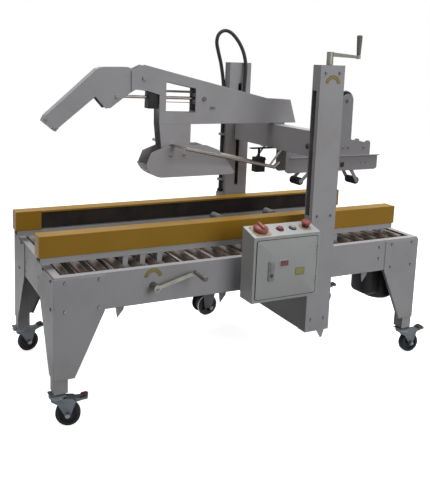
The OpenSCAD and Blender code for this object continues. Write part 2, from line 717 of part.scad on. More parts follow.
// Bent arm that folds the rear flap: two plates, a skin along the back, pivot and pull pins
module kicker_arm() color("gainsboro") at_ref() {
  for (y = [kicker_y0, kicker_y0 + kicker_w - sheet]) side_extrude(y, sheet) kicker_2d();
  side_extrude(kicker_y0 + 1, kicker_w - 2) polygon([[38, 1124], [50, 1147], [163, 1247], [264, 1337],
    [286, 1345], [380, 1347], [380, 1344], [287, 1342], [266, 1334], [165, 1244], [52.5, 1145], [41, 1122.7]]);
  side_extrude(kicker_y0 + 1, kicker_w - 2) polygon([[38, 1124], [90, 1081], [92, 1084], [41, 1127]]);
  y_rod([kick_x, kick_z], boom_y0 - 5, boom_y0 + boom_w + 5, pin_d / 2);
  for (y = [boom_y0 - 5, boom_y0 + boom_w + clear]) y_rod([kick_x, kick_z], y, y + 5 - clear, pin_d);
  y_rod([pull_x, pull_z], kicker_y0 - 4, kicker_y0 + kicker_w + 4, pin_d / 2);
  for (y = [kicker_y0 - 5, kicker_y0 + kicker_w]) y_rod([pull_x, pull_z], y, y + 5, 9);
}

// Local frame along the cylinder: origin at its trunnions, +X towards the rod end, +Z down
cyl_v = [pull_x - cyl_x, pull_z - cyl_z];
cyl_len = norm(cyl_v);
cyl_a = atan2(cyl_v[1], cyl_v[0]);
module cyl_frame() translate([cyl_x, mid_y, cyl_z]) rotate([0, -cyl_a, 0]) children();
module x_rod(x0, x1, y, z, r) translate([x0, y, z]) rotate([0, 90, 0]) cylinder(r = r, h = x1 - x0);
head_s = 44;
rear_cap = [-138, -118];
front_head = [-24, 34];
guide_block = [214, 262];
guide_rod_z = -28;
tie_bar_z = 19;
stroke = 46;
piston_t = 14;

// Square-headed cylinder hung from trunnions in the boom, with a guide block for its rod held
// ahead of it on a round guide rod and a thin tie bar
module kicker_cylinder() color("dimgray") at_ref() cyl_frame() {
  block([rear_cap[0], -head_s / 2, -head_s / 2], [rear_cap[1], head_s / 2, head_s / 2]);
  difference() {
    union() {
      block([front_head[0], -head_s / 2, guide_rod_z - 8], [front_head[1], head_s / 2, 24]);
      block([guide_block[0], -head_s / 2, guide_rod_z + 2], [guide_block[1], head_s / 2, 48]);
    }
    x_rod(front_head[0] - e, guide_block[1] + e, 0, 0, rod_d / 2 + run);
  }
  difference() {
    x_rod(rear_cap[1] - 1, front_head[0] + 1, 0, 0, barrel_d / 2);
    x_rod(rear_cap[1] + 3, front_head[0] + 2, 0, 0, barrel_d / 2 - 3);
  }
  for (y = [-16, 16], z = [-16, 16]) x_rod(rear_cap[0] - 4, front_head[0] + 2, y, z, 2.5);
  x_rod(front_head[1] - 1, guide_block[1] + 4, 0, guide_rod_z, 5);
  x_rod(front_head[1] - 1, guide_block[0] + 1, 0, tie_bar_z, 1.5);
  // trunnions in the boom's plates, with their heads
  for (s = [-1, 1]) rotate([s * 90, 0, 0]) {
    translate([0, 0, 14]) cylinder(r = pin_d / 2, h = boom_w / 2 - 9);
    translate([0, 0, boom_w / 2 + clear]) cylinder(r = pin_d, h = 5 - clear);
  }
}

// Piston, rod and the eye that takes the kicker's pull pin with play
module cylinder_rod() color("silver") at_ref() cyl_frame() {
  piston_x = front_head[0] - 6 - piston_t;
  x_rod(piston_x + 1, cyl_len - 14, 0, 0, rod_d / 2);
  x_rod(piston_x, piston_x + piston_t, 0, 0, barrel_d / 2 - 3 - run);
  difference() {
    translate([cyl_len, 9, 0]) rotate([90, 0, 0]) cylinder(r = 17, h = 18);
    translate([cyl_len, 10, 0]) rotate([90, 0, 0]) cylinder(r = pin_d / 2 + 2.6, h = 20);
  }
}

// ---- flap tools ----

// Drop channel under the boom that carries the sled
module flap_hanger() color("gainsboro") at_ref() {
  for (y = [boom_y0, boom_y0 + boom_w - sheet]) side_extrude(y, sheet)
    polygon([[543, boom_z0], [695, boom_z0], [695, 986], [690, 958], [590, 958], [576, 986], [556, 992]]);
  block([692, boom_y0, 986], [695, boom_y0 + boom_w, boom_z0]);
  block([575, boom_y0, boom_z0 - 4], [695, boom_y0 + boom_w, boom_z0]);
}

sled_y0 = mid_y - sled_w / 2;
sled_t = 3;
sled_top = sole_z + 138;

// Sled with an upturned nose: two cheeks and a sole
module flap_sled() color("gainsboro") at_ref() {
  for (y = [sled_y0, sled_y0 + sled_w - sled_t]) side_extrude(y, sled_t) sled_2d();
  side_extrude(sled_y0, sled_w) {
    polygon([[560, sole_z], [905, sole_z], [918, sole_z + 8], [918, sole_z + 11], [905, sole_z + 3],
      [560, sole_z + 3]]);
    difference() {
      translate([560, sole_z + 90]) circle(90, $fn = 96);
      translate([560, sole_z + 90]) circle(87, $fn = 96);
      translate([560, sole_z - e]) square([100, 200]);
      translate([400, sole_z + 62]) square([200, 200]);
    }
  }
  // saddle that takes the hanger
  for (y = [boom_y0 - 3, boom_y0 + boom_w]) block([586, y, 955], [694, y + 3, sole_z + 118]);
  block([586, sled_y0, 958 - 6], [694, sled_y0 + sled_w, 958]);
}

module sled_2d() {
  polygon([[560, sole_z], [905, sole_z], [918, sole_z + 8], [880, 930], [830, 988], [765, sled_top],
    [574, sled_top], [500, 985], [480, sole_z + 62], [486, sole_z + 40], [510, sole_z + 16], [532, sole_z + 5]]);
}

rod_start = [602, 176, sled_top + 4.3];
rod_end = [1120, 284, 900];

// Round bar between two points
module bar(a, b, r) {
  d = b - a;
  translate(a) rotate([0, acos(d[2] / norm(d)), atan2(d[1], d[0])]) cylinder(r = r, h = norm(d));
}

// Plough rods that turn the long flaps in, their cross bar and the drop links from the beam
module side_flap_rods() color("silver") at_ref() {
  flap_rod_side();
  far_side() flap_rod_side();
}

module flap_rod_side() {
  r = flap_rod_d / 2;
  tip = [1150, 290, 922];
  bar(rod_start, rod_end, r);
  translate(rod_end) sphere(r + 0.8);
  bar(rod_end, tip, r);
  // cross bar over the sled to the hanger, and a link up to the beam
  block([598, rod_start[1] - 2.7, sled_top], [616, boom_y0, sled_top + 6]);
  bar([1090, 278, 907], [1150, 276, beam_z0 - 4], 5);
  block([beam_x + 4, 262, beam_z0 - 5], [beam_x + 34, 292, beam_z0]);
}

// Rubber block that keeps the folded flaps down ahead of the tape head, on its bracket
module flap_press_block() color("dimgray") at_ref() {
  translate([press_x - 26, mid_y - 22, sole_z - 3]) linear_extrude(69) soft_rect(52, 44, 6);
  z_rod(press_x, mid_y, sole_z + 65, beam_z0 - 2, 6);
  block([press_x - 46, mid_y - 13, beam_z0 - 5], [beam_x + 40, mid_y + 13, beam_z0]);
}
press_x = 1075;

// ---- tape heads ----

// Roller with a ribbed face on a through bore
module tape_roller(p) translate([p[0], mid_y, p[1]]) rotate([90, 0, 0]) rotate_extrude() {
  r = tape_roller_d / 2;
  h = tape_roller_w / 2;
  difference() {
    polygon([[4 + run, -h], [r - 1, -h], [r, -h + 2], [r, h - 2], [r - 1, h], [4 + run, h]]);
    for (k = [-4:4]) translate([r - 0.8, k * 6.5 - 0.8]) square([2, 1.6]);
  }
}

// Arm: two cheeks on a pivot tube, carrying a spindle at the roller
module roller_arm(pivot, tip) {
  cheek_y = [mid_y - tape_roller_w / 2 - 4, mid_y + tape_roller_w / 2 + 1];
  mid = (pivot + tip) / 2 + [0, 9 * sign(pivot[1] - tip[1])];
  difference() {
    union() {
      for (y = cheek_y) side_extrude(y, 3) {
        link_2d(pivot, mid, 10);
        link_2d(mid, tip, 10);
        translate(pivot) circle(14);
      }
      y_rod(pivot, cheek_y[0] + 1, cheek_y[1] + 2, 10.5);
    }
    y_rod(pivot, cheek_y[0] - e, cheek_y[1] + 3 + e, 5 + run);
  }
  y_rod(tip, cheek_y[0] - 1, cheek_y[1] + 4, 4);
}

// Side plates of a head: outline, holes and ties are the same for both plates
module head_plates(ties) {
  for (s = [0, 1]) side_extrude(mid_y - head_w / 2 + s * (head_w - sheet), sheet) children();
  for (t = ties) y_rod(t, mid_y - head_w / 2 + 1, mid_y + head_w / 2 - 1, 5);
}

// Tape core hub: drum, flange and rim bosses, turning on its stub
module tape_hub(p) color("dimgray") at_ref() translate([p[0], mid_y, p[1]]) rotate([90, 0, 0])
  difference() {
    union() {
      cylinder(r = 38, h = 52, center = true);
      for (z = [-30, 26]) translate([0, 0, z]) cylinder(r = hub_d / 2, h = 4);
    }
    cylinder(r = 6 + run, h = 70, center = true);
    for (k = [0:4]) rotate(72 * k) translate([24, 0, 0]) cylinder(r = 8, h = 70, center = true);
  }

module top_head_frame() color("silver") at_ref() {
  carrier_z = beam_z0 - 12;
  head_plates([[top_x0 + 120, top_z1 - 12], [top_x0 + 280, top_z1 - 12], [top_x1 - 30, top_z1 - 20],
               [top_x0 + 420, top_z1 + 40], top_in, top_out]) {
    polygon([[top_x0, top_z0 + 10], [top_x0 + 16, top_z0], [top_x1 - 14, top_z0], [top_x1, top_z0 + 8],
      [top_x1, top_z1], [top_x0, top_z1]]);
    translate([0, top_z1 - 1]) polygon([[top_x0, 0], [top_x1 - 52, 0], [top_x1 - 52, 60], [top_x1 - 58, 72],
      [top_x1 - 76, 74], [top_x1 - 90, 66], [top_x1 - 130, 74], [top_x0 + 120, 78], [top_x0 + 60, 130],
      [top_x0, 150]]);
  }
  // flange along the top of the channel, as wide as the plates stand apart plus its lips
  for (s = [-1, 1]) translate([0, mid_y + s * (head_w / 2 + 5) - 7, 0])
    block([top_x0 + 20, 0, top_z1 - 3], [top_x1 + 6, 14, top_z1]);
  // wall that bolts to the head beam
  block([beam_x + beam_w, mid_y - head_w / 2, beam_z0 + 2], [top_x0 + 1, mid_y + head_w / 2, beam_z1 - 6]);
  // post for the tape core
  side_extrude(mid_y - head_w / 2, 4) post_2d();
  y_rod(top_hub, mid_y - head_w / 2, mid_y + 36, 6);
  y_rod(top_hub, mid_y - head_w / 2 + 3, mid_y - 30 - clear, 12);
}

module post_2d() {
  polygon([[top_hub[0] - 30, top_z1 + 20], [top_hub[0] + 42, top_z1 + 20], [top_hub[0] + 40, top_hub[1]],
    [top_hub[0] - 28, top_hub[1]]]);
  translate([top_hub[0] + 6, top_hub[1]]) circle(34);
}

module top_infeed_arm() color("silver") at_ref() roller_arm(top_in, top_in_roller);
module top_outfeed_arm() color("silver") at_ref() roller_arm(top_out, top_out_roller);
module top_infeed_roller() color("dimgray") at_ref() tape_roller(top_in_roller);
module top_outfeed_roller() color("dimgray") at_ref() tape_roller(top_out_roller);
module top_tape_hub() tape_hub(top_hub);

module bottom_head_frame() color("silver") at_ref() {
  head_plates([[low_head_x + 40, low_z0 + 16], [low_head_x + 230, low_z0 + 16], [low_x1 - 40, low_z0 + 16],
               low_in, low_out]) {
    polygon([[low_head_x, low_z0 + 20], [low_head_x + 30, low_z0], [low_x1 - 30, low_z0],
      [low_x1, low_z0 + 20], [low_x1, low_z1], [low_x1 - 90, low_z1], [low_x1 - 110, low_z1 - 14],
      [low_head_x + 130, low_z1 - 14], [low_head_x + 110, low_z1], [low_head_x, low_z1]]);
  }
  // bars that hang the head under the inner axle rails
  for (x = [low_head_x + 70, low_x1 - 60]) {
    block([x, inner_rail_y, rail_z0 - 8], [x + 30, mid_y - head_w / 2 + 1, rail_z0 - 2]);
    far_side() block([x, inner_rail_y, rail_z0 - 8], [x + 30, mid_y - head_w / 2 + 1, rail_z0 - 2]);
  }
  side_extrude(mid_y - head_w / 2, 4) polygon([[low_hub[0] - 50, low_z0 + 16], [low_hub[0] + 70, low_z0 + 12],
    [low_hub[0] + 18, low_hub[1] - 10], [low_hub[0] - 18, low_hub[1] - 10]]);
  y_rod(low_hub, mid_y - head_w / 2, mid_y + 36, 6);
  y_rod(low_hub, mid_y - head_w / 2 + 3, mid_y - 30 - clear, 12);
}

module bottom_infeed_arm() color("silver") at_ref() {
  roller_arm(low_in, low_in_roller);
  tape_roller(low_in_roller);
}
module bottom_outfeed_arm() color("silver") at_ref() {
  roller_arm(low_out, low_out_roller);
  tape_roller(low_out_roller);
}
module bottom_tape_hub() tape_hub(low_hub);

// ---- belt units ----

// Base: floor channel, belt slide plate, idler post, carriages on the rods and the nut
module belt_base() difference() {
  union() {
    translate([unit_x0 + 6, 0, base_z]) rotate([90, 0, 90]) linear_extrude(unit_l - 12)
      translate([unit_y0 + 4, 0]) difference() {
        square([unit_w - 8, base_h]);
        translate([sheet, sheet]) square([unit_w - 8 - 2 * sheet, base_h]);
      }
    block([slide_xs[0], unit_y + 4, base_z + 2], [slide_xs[1], unit_y + 8, cover_z + 3]);
    block([slide_xs[0], unit_y + pulley_d / 2 - 8, cover_z + 1],
          [slide_xs[1], unit_y + pulley_d / 2 - 1, belt_z0 + belt_h - 6]);
    block([slide_xs[0], unit_y + 4, cover_z], [slide_xs[1], unit_y + pulley_d / 2 - 2, cover_z + 3]);
    z_rod(idler_x, unit_y, base_z + 1, belt_z0 + belt_h - 2, pulley_d / 2 - run);
    for (x = carriage_xs) carriage(x);
  }
  for (x = guide_xs) y_rod([x, screw_z], 0, mid_y, guide_d / 2 + run);
  y_rod([screw_x, screw_z], 0, mid_y, width_screw_d / 2 + run);
  z_rod(drive_x, unit_y, base_z - e, base_z + sheet + e, drive_shaft_d / 2 + run);
}

module carriage(x) {
  block([x - 17, unit_y - 26, screw_z - 17], [x + 17, unit_y + 26, screw_z + 17]);
  block([x - 11, unit_y - 26, screw_z], [x + 11, unit_y + 26, base_z + 1]);
}

// Cover: top, outer wall, a lip over the belt and closed ends that turn in over the belt
module belt_cover() translate([unit_x0, 0, cover_z]) {
  difference() {
    translate([0, unit_y0, 0]) cube([unit_l, unit_w, cover_h]);
    translate([cover_t, unit_y0 + cover_t, -e]) cube([unit_l - 2 * cover_t, unit_w - 2 * cover_t, cover_h - cover_t + e]);
    translate([cover_end, unit_y, -e]) cube([unit_l - 2 * cover_end, unit_w, cover_h - 8 + e]);
  }
  // ribs that sit on the base channel
  for (x = [150, unit_l / 2, unit_l - 150]) translate([x, unit_y0 + cover_t - 0.5, 0]) cube([20, 2.5, cover_h - 1]);
}

// Flat belt round both pulleys
module belt_loop() translate([0, unit_y, belt_z0]) linear_extrude(belt_h) difference() {
  belt_line(belt_r);
  belt_line(pulley_d / 2);
}

module belt_line(r) {
  translate([idler_x, 0]) circle(r, $fn = 96);
  translate([drive_x, 0]) circle(r, $fn = 96);
  translate([idler_x, -r]) square([drive_x - idler_x, 2 * r]);
}

// Drive pulley with its flange and the long shaft down to the motor
module drive_pulley() {
  z_rod(drive_x, unit_y, belt_z0 + 1, belt_z0 + belt_h - 1, pulley_d / 2 - run);
  z_rod(drive_x, unit_y, cover_z - 10, belt_z0 + 2, 14);
  z_rod(drive_x, unit_y, drive_z0 - 18, belt_z0 + 2, drive_shaft_d / 2);
}

// Motor standing head down under the bed, with a shaft tube up to the base
module belt_motor() {
  r = motor_d / 2;
  translate([drive_x, unit_y, 0]) difference() {
    union() {
      rotate_extrude($fn = 72) polygon([[0, motor_z], [r - 30, motor_z], [r - 10, motor_z + 8],
        [r - 2, motor_z + 24], [r, motor_z + 40], [r, drive_z0 - 60], [r - 6, drive_z0 - 52],
        [r - 6, drive_z0], [0, drive_z0]]);
      translate([0, 0, drive_z0 - 1]) cylinder(r = 16, h = base_z - drive_z0 + 1);
    }
    translate([0, 0, drive_z0 - 20]) cylinder(r = drive_shaft_d / 2 + run, h = 40);
    translate([0, 0, drive_z0 + 18]) cylinder(r = drive_shaft_d / 2 + 2, h = base_z - drive_z0);
  }
  // gearbox bulge on the infeed side
  translate([drive_x - r - 30, unit_y - 44, drive_z0 - 128]) linear_extrude(120) soft_rect(70, 88, 24);
}

module front_belt_base() color("gainsboro") at_ref() belt_base();
module front_belt_cover() color("goldenrod") at_ref() belt_cover();
module front_belt() color("dimgray") at_ref() belt_loop();
module front_drive_pulley() color("silver") at_ref() drive_pulley();
module front_motor() color("dimgray") at_ref() belt_motor();
module rear_belt_base() color("gainsboro") at_ref() far_side() belt_base();
module rear_belt_cover() color("goldenrod") at_ref() far_side() belt_cover();
module rear_belt() color("dimgray") at_ref() far_side() belt_loop();
module rear_drive_pulley() color("silver") at_ref() far_side() drive_pulley();
module rear_motor() color("dimgray") at_ref() far_side() belt_motor();

// ---- width adjustment ----

// Fixed rods that the carriages slide on, clamped between the side walls
module guide_rods() color("silver") at_ref() for (x = guide_xs)
  y_rod([x, screw_z], sheet, bed_w - sheet, guide_d / 2);

// Left- and right-hand screw with the crank outside the front apron
module width_screw() color("silver") at_ref() {
  y_rod([screw_x, screw_z], wc_y - 8, bed_w + 8, width_screw_d / 2);
  y_rod([screw_x, screw_z], wc_y - 10, -clear, 15);
  y_rod([screw_x, screw_z], bed_w + clear, bed_w + 12, 13);
  side_extrude(wc_y - 5, 10) link_2d([screw_x, screw_z], wc_end, 9);
  y_rod(wc_end, wc_y - grip_l, wc_y, 5);
}

module width_crank_grip() color("dimgray") at_ref()
  translate([wc_end[0], wc_y - 5 - clear, wc_end[1]]) rotate([90, 0, 0]) grip(grip_l);

// ---- control box ----

// Side outline of the box in Y-Z: upright front, sloping top
module box_2d(inset) {
  polygon([[box_y0 + inset, box_z + inset], [-box_gap - inset, box_z + inset],
    [-box_gap - inset, box_z + box_h + box_rise - inset], [box_y0 + inset, box_z + box_h - inset]]);
}

module x_extrude(x0, w) translate([x0, 0, 0]) rotate([90, 0, 90]) linear_extrude(w) children();

// Folded housing, open at the door, on two standoff channels
module control_box() color("whitesmoke") at_ref() difference() {
  union() {
    difference() {
      x_extrude(box_x, box_w) box_2d(0);
      x_extrude(box_x + 2, box_w - 4) box_2d(2);
      block([box_x + door_inset + 4, box_y0 - e, box_z + door_inset + 4],
            [box_x + box_w - door_inset - 4, box_y0 + 3, box_z + box_h - door_inset - 4]);
    }
    for (x = [box_x + 40, box_x + box_w - 80])
      block([x, -box_gap - 1, apron_z + 14], [x + 40, 0, apron_z + 104]);
  }
  for (i = [0:3]) top_place(control_xs[i]) translate([0, 0, -10]) cylinder(r = control_rs[i] + clear, h = 20);
}
control_rs = [12, 9, 9, 9];

// Frame on the sloping top, at x along the box and halfway up the slope
module top_place(x) translate([x, -box_gap - box_d / 2, box_z + box_h + box_rise / 2])
  rotate([box_slope, 0, 0]) children();

// Door with a folded edge, its hinge barrels and the quarter-turn lock
module control_door() color("whitesmoke") at_ref() {
  block([box_x + door_inset, box_y0 - door_t, box_z + door_inset],
        [box_x + box_w - door_inset, box_y0 - clear, box_z + box_h - door_inset]);
  for (z = [box_z + 50, box_z + box_h - 90]) z_rod(hinge_xy[0], hinge_xy[1], z, z + 40, 4);
  block([box_x + 64, box_y0 - 12, box_z + 92], [box_x + 80, box_y0 - door_t + 1, box_z + 176]);
}

// Rotary main switch: a round collar with a raised handle
module power_switch() color("firebrick") at_ref() top_place(control_xs[0]) {
  translate([0, 0, -8]) cylinder(r = control_rs[0], h = 14);
  translate([0, 0, clear]) cylinder(r = 24, h = 6);
  translate([-7, -22, 5]) cube([14, 44, 16]);
}

module push_button(i) at_ref() top_place(control_xs[i]) {
  translate([0, 0, -8]) cylinder(r = control_rs[i], h = 18);
  translate([0, 0, 9]) cylinder(r1 = 12, r2 = 11, h = 5);
}
module start_button() color("lightgray") push_button(2);
module stop_button() color("firebrick") push_button(1);

// Mushroom stop with a domed head
module emergency_stop() color("firebrick") at_ref() top_place(control_xs[3]) {
  translate([0, 0, -8]) cylinder(r = control_rs[3], h = 24);
  translate([0, 0, 14]) rotate_extrude() polygon([[0, 0], [12, 0], [19, 5], [20, 9], [17, 14], [10, 17], [0, 18]]);
}

// ---- cable ----

module cable_conduit() color("dimgray") at_ref() sweep_tube(conduit_path, conduit_d / 2, 12);

bed_frame();
legs();
leg_feet();
front_mast();
rear_mast();
lower_crossbeam();
lift_chain();
guide_rods();
bed_rollers();
end_roller(0);  // infeed_roller
end_roller(roller_n - 1);  // outfeed_roller
control_box();
control_door();
power_switch();
start_button();
stop_button();
emergency_stop();
cable_conduit();
front_lift_screw();
height_crank_grip();
rear_lift_screw();
head_beam();
boom_plates();
flap_hanger();
flap_sled();
side_flap_rods();
flap_press_block();
kicker_arm();
kicker_cylinder();
cylinder_rod();
top_head_frame();
top_infeed_arm();
top_infeed_roller();
top_outfeed_arm();
top_outfeed_roller();
top_tape_hub();
bottom_head_frame();
bottom_infeed_arm();
bottom_outfeed_arm();
bottom_tape_hub();
front_belt_base();
front_belt_cover();
front_belt();
front_drive_pulley();
front_motor();
rear_belt_base();
rear_belt_cover();
rear_belt();
rear_drive_pulley();
rear_motor();
width_screw();
width_crank_grip();
caster_fork(0);  // caster_fork_1
caster_fork(1);  // caster_fork_2
caster_fork(2);  // caster_fork_3
caster_fork(3);  // caster_fork_4
caster_wheel(0);  // caster_wheel_1
caster_wheel(1);  // caster_wheel_2
caster_wheel(2);  // caster_wheel_3
caster_wheel(3);  // caster_wheel_4
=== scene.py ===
"""Looks of a side-belt carton sealer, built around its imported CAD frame.

Shapes are worked out in millimetres in machine coordinates: X runs along the conveyor from the infeed end
of the bed, Y from the operator's side wall to the back, and Z up from the floor. add_piece() turns them into
metres in the row frame.
"""

import json
import math

import bmesh
import bpy
import numpy as np
from mathutils import Matrix, Vector


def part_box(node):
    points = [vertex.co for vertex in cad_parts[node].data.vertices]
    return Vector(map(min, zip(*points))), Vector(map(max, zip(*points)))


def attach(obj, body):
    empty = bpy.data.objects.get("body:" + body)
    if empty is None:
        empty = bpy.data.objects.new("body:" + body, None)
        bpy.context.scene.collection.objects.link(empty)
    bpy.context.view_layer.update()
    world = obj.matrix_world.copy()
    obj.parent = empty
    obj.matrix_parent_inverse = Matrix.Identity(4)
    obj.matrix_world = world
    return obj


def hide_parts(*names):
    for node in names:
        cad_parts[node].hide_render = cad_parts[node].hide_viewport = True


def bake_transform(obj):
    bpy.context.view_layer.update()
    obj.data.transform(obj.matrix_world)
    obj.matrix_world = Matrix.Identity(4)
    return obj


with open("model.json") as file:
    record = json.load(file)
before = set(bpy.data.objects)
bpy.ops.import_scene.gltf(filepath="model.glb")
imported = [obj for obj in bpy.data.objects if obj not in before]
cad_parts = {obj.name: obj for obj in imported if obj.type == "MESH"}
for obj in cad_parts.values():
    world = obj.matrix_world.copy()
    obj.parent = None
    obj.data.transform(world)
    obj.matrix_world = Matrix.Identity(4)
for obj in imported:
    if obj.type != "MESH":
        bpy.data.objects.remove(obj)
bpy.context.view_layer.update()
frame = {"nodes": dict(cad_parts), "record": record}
nodes = frame["nodes"]

BED_CORNER = np.array([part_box("bed_frame")[0][0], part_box("bed_frame")[0][1], 0.0])


def box_mm(node):
    """Lowest and highest corner of a CAD node, in machine millimetres."""
    return [(np.array(corner) - BED_CORNER) * 1000 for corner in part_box(node)]


# ---- surfaces ----

def quads(rows, columns, around=True):
    """Four-sided faces of a grid of points numbered row by row; around joins the last column to the first."""
    i, j = np.meshgrid(np.arange(rows - 1), np.arange(columns if around else columns - 1), indexing="ij")
    k = (j + 1) % columns
    corners = [i * columns + j, i * columns + k, (i + 1) * columns + k, (i + 1) * columns + j]
    return np.stack(corners, -1).reshape(-1, 4)


def turned(profile, steps=32, angle=0.0):
    """A (radius, height) profile carried round Z: x = r cos t, y = r sin t, z = h, with t in equal steps."""
    t = np.arange(steps) * 2 * math.pi / steps + angle
    r, h = np.array(profile, float).T
    points = np.stack([np.outer(r, np.cos(t)), np.outer(r, np.sin(t)), np.repeat(h[:, None], steps, 1)], -1)
    return points.reshape(-1, 3), quads(len(r), steps)


def stacked(outline, rings):
    """A closed outline carried up Z through rings of (inset, height): each ring is the outline moved
    inwards by its inset along the outline's own normals. The first and last ring close to their centre."""
    p = np.array(outline, float)
    along = np.roll(p, -1, 0) - np.roll(p, 1, 0)
    normal = np.stack([along[:, 1], -along[:, 0]], -1) / np.linalg.norm(along, axis=1)[:, None]
    inset, height = np.array(rings, float).T
    flat = p[None] - inset[:, None, None] * normal[None]
    points = np.concatenate([flat, np.broadcast_to(height[:, None, None], flat.shape[:2] + (1,))], -1)
    centre = points.mean(1, keepdims=True).repeat(len(p), 1)
    points = np.concatenate([centre[:1], points, centre[-1:]])
    return points.reshape(-1, 3), quads(len(rings) + 2, len(p))


def rounded_rectangle(width, height, radius, steps=5):
    """Outline of a rectangle about its centre whose corners are quarter circles of the radius."""
    t = np.linspace(0, math.pi / 2, steps)
    quarter = radius * np.stack([np.cos(t), np.sin(t)], -1)
    corner = np.array([width / 2 - radius, height / 2 - radius])
    turns = [np.array([[math.cos(a), -math.sin(a)], [math.sin(a), math.cos(a)]]) for a in np.arange(4) * math.pi / 2]
    signs = np.array([[1, 1], [-1, 1], [-1, -1], [1, -1]])
    return np.concatenate([quarter @ m.T + corner * s for m, s in zip(turns, signs)])


def soft_block(size, radius=4.0, edge=1.0):
    """A block about its centre in X and Y, standing on z = 0, with round corners. Its upper edge is rolled
    over a quarter circle: an inset of e (1 - cos a) at e (1 - sin a) under the top."""
    width, depth, height = size
    t = np.linspace(0, math.pi / 2, 4)
    rolled = [(edge * (1 - math.cos(a)), height - edge * (1 - math.sin(a))) for a in t]
    return stacked(rounded_rectangle(width, depth, radius), [(0, 0), *rolled])


def hexagon(flats, steps=2):
    """Outline of a hexagon at equal angles: its radius is half the width across the flats, over the cosine of
    the angle from the middle of the nearest flat."""
    t = np.arange(6 * steps) * 2 * math.pi / (6 * steps)
    r = flats / 2 / np.cos((t + math.pi / 6) % (math.pi / 3) - math.pi / 6)
    return np.stack([r * np.cos(t), r * np.sin(t)], -1)


def hex_bolt(thread=8.0):
    """Flange washer and hexagon head: a ring of points whose radius follows a circle, then a hexagon,
    then the circle of the head's chamfer."""
    t = np.arange(12) * math.pi / 6
    circle = np.stack([np.cos(t), np.sin(t)], -1)
    head = hexagon(1.6 * thread)
    levels = [(circle * 1.05 * thread, 0.0), (circle * 1.05 * thread, 1.4), (head, 1.4), (head, 1.4 + 0.5 * thread),
              (circle * 0.74 * thread, 1.4 + 0.62 * thread), (circle * 0.0, 1.4 + 0.62 * thread)]
    levels.insert(0, (circle * 0.0, 0.0))
    points = np.concatenate([np.concatenate([ring, np.full((12, 1), z)], -1) for ring, z in levels])
    return points, quads(len(levels), 12)


def cap_screw(thread=8.0):
    """Button-head screw with a socket: a (radius, height) profile that rises over the dome and dips into the
    socket, carried round Z."""
    r = thread * 0.9
    return turned([(0, 0), (r, 0), (r, 0.6), (0.9 * r, 0.3 * thread), (0.62 * r, 0.46 * thread),
                   (0.4 * r, 0.5 * thread), (0.36 * r, 0.2 * thread), (0, 0.2 * thread)], 12)


def carried(path, radius, steps=12, up=(0, 1, 0)):
    """A round tube: a circle carried along a path square to its direction, p + r (cos t s + sin t n), where r
    is one radius or one for each point of the path. Both ends close to the path's own end points."""
    p = np.array(path, float)
    r = np.broadcast_to(np.asarray(radius, float), (len(p),))
    d = np.gradient(p, axis=0)
    d /= np.linalg.norm(d, axis=1)[:, None]
    s = np.cross(np.array(up, float), d)
    s /= np.linalg.norm(s, axis=1)[:, None]
    n = np.cross(d, s)
    t = np.arange(steps) * 2 * math.pi / steps
    spoke = np.cos(t)[None, :, None] * s[:, None] + np.sin(t)[None, :, None] * n[:, None]
    rings = p[:, None] + r[:, None, None] * spoke
    ends = [np.repeat(p[k][None, None], steps, 1) for k in (0, -1)]
    return np.concatenate([ends[0], rings, ends[1]]).reshape(-1, 3), quads(len(p) + 2, steps)


def smooth_path(points, count):
    """Catmull-Rom curve through the points, read at equal steps of its length, and that length."""
    p = np.array(points, float)
    p = np.concatenate([2 * p[:1] - p[1:2], p, 2 * p[-1:] - p[-2:-1]])
    t = np.linspace(0, 1, 24, endpoint=False)[:, None, None]
    a, b, c, d = p[None, :-3], p[None, 1:-2], p[None, 2:-1], p[None, 3:]
    square, cube = 2 * a - 5 * b + 4 * c - d, 3 * b - a - 3 * c + d
    curve = 0.5 * (2 * b + (c - a) * t + square * t ** 2 + cube * t ** 3)
    curve = np.concatenate([curve.transpose(1, 0, 2).reshape(-1, 3), p[-2:-1]])
    length = np.concatenate([[0], np.cumsum(np.linalg.norm(np.diff(curve, axis=0), axis=1))])
    at = np.linspace(0, length[-1], count)
    return np.stack([np.interp(at, length, curve[:, k]) for k in range(3)], -1), length[-1]


def aimed(shape, at, facing=(0, 0, 1), turn=0.0, top=(0, 0, 1)):
    """The same shape with its own Z along facing, its own Y as near to top as that allows, turned about that Z
    by degrees, and its foot at a point."""
    points, faces = shape
    z = np.array(facing, float) / np.linalg.norm(facing)
    y = np.array(top, float) - np.dot(top, z) * z
    if np.linalg.norm(y) < 1e-6:
        y = np.array([0, 1.0, 0])
    y /= np.linalg.norm(y)
    x = np.cross(y, z)
    c, s = math.cos(math.radians(turn)), math.sin(math.radians(turn))
    return points @ np.stack([c * x + s * y, c * y - s * x, z]) + np.array(at, float), faces


def joined(shapes):
    """Several shapes as one list of points and faces."""
    points, faces, start = [], [], 0
    for p, f in shapes:
        points.append(p)
        faces.append(np.asarray(f) + start)
        start += len(p)
    return np.concatenate(points), np.concatenate(faces)


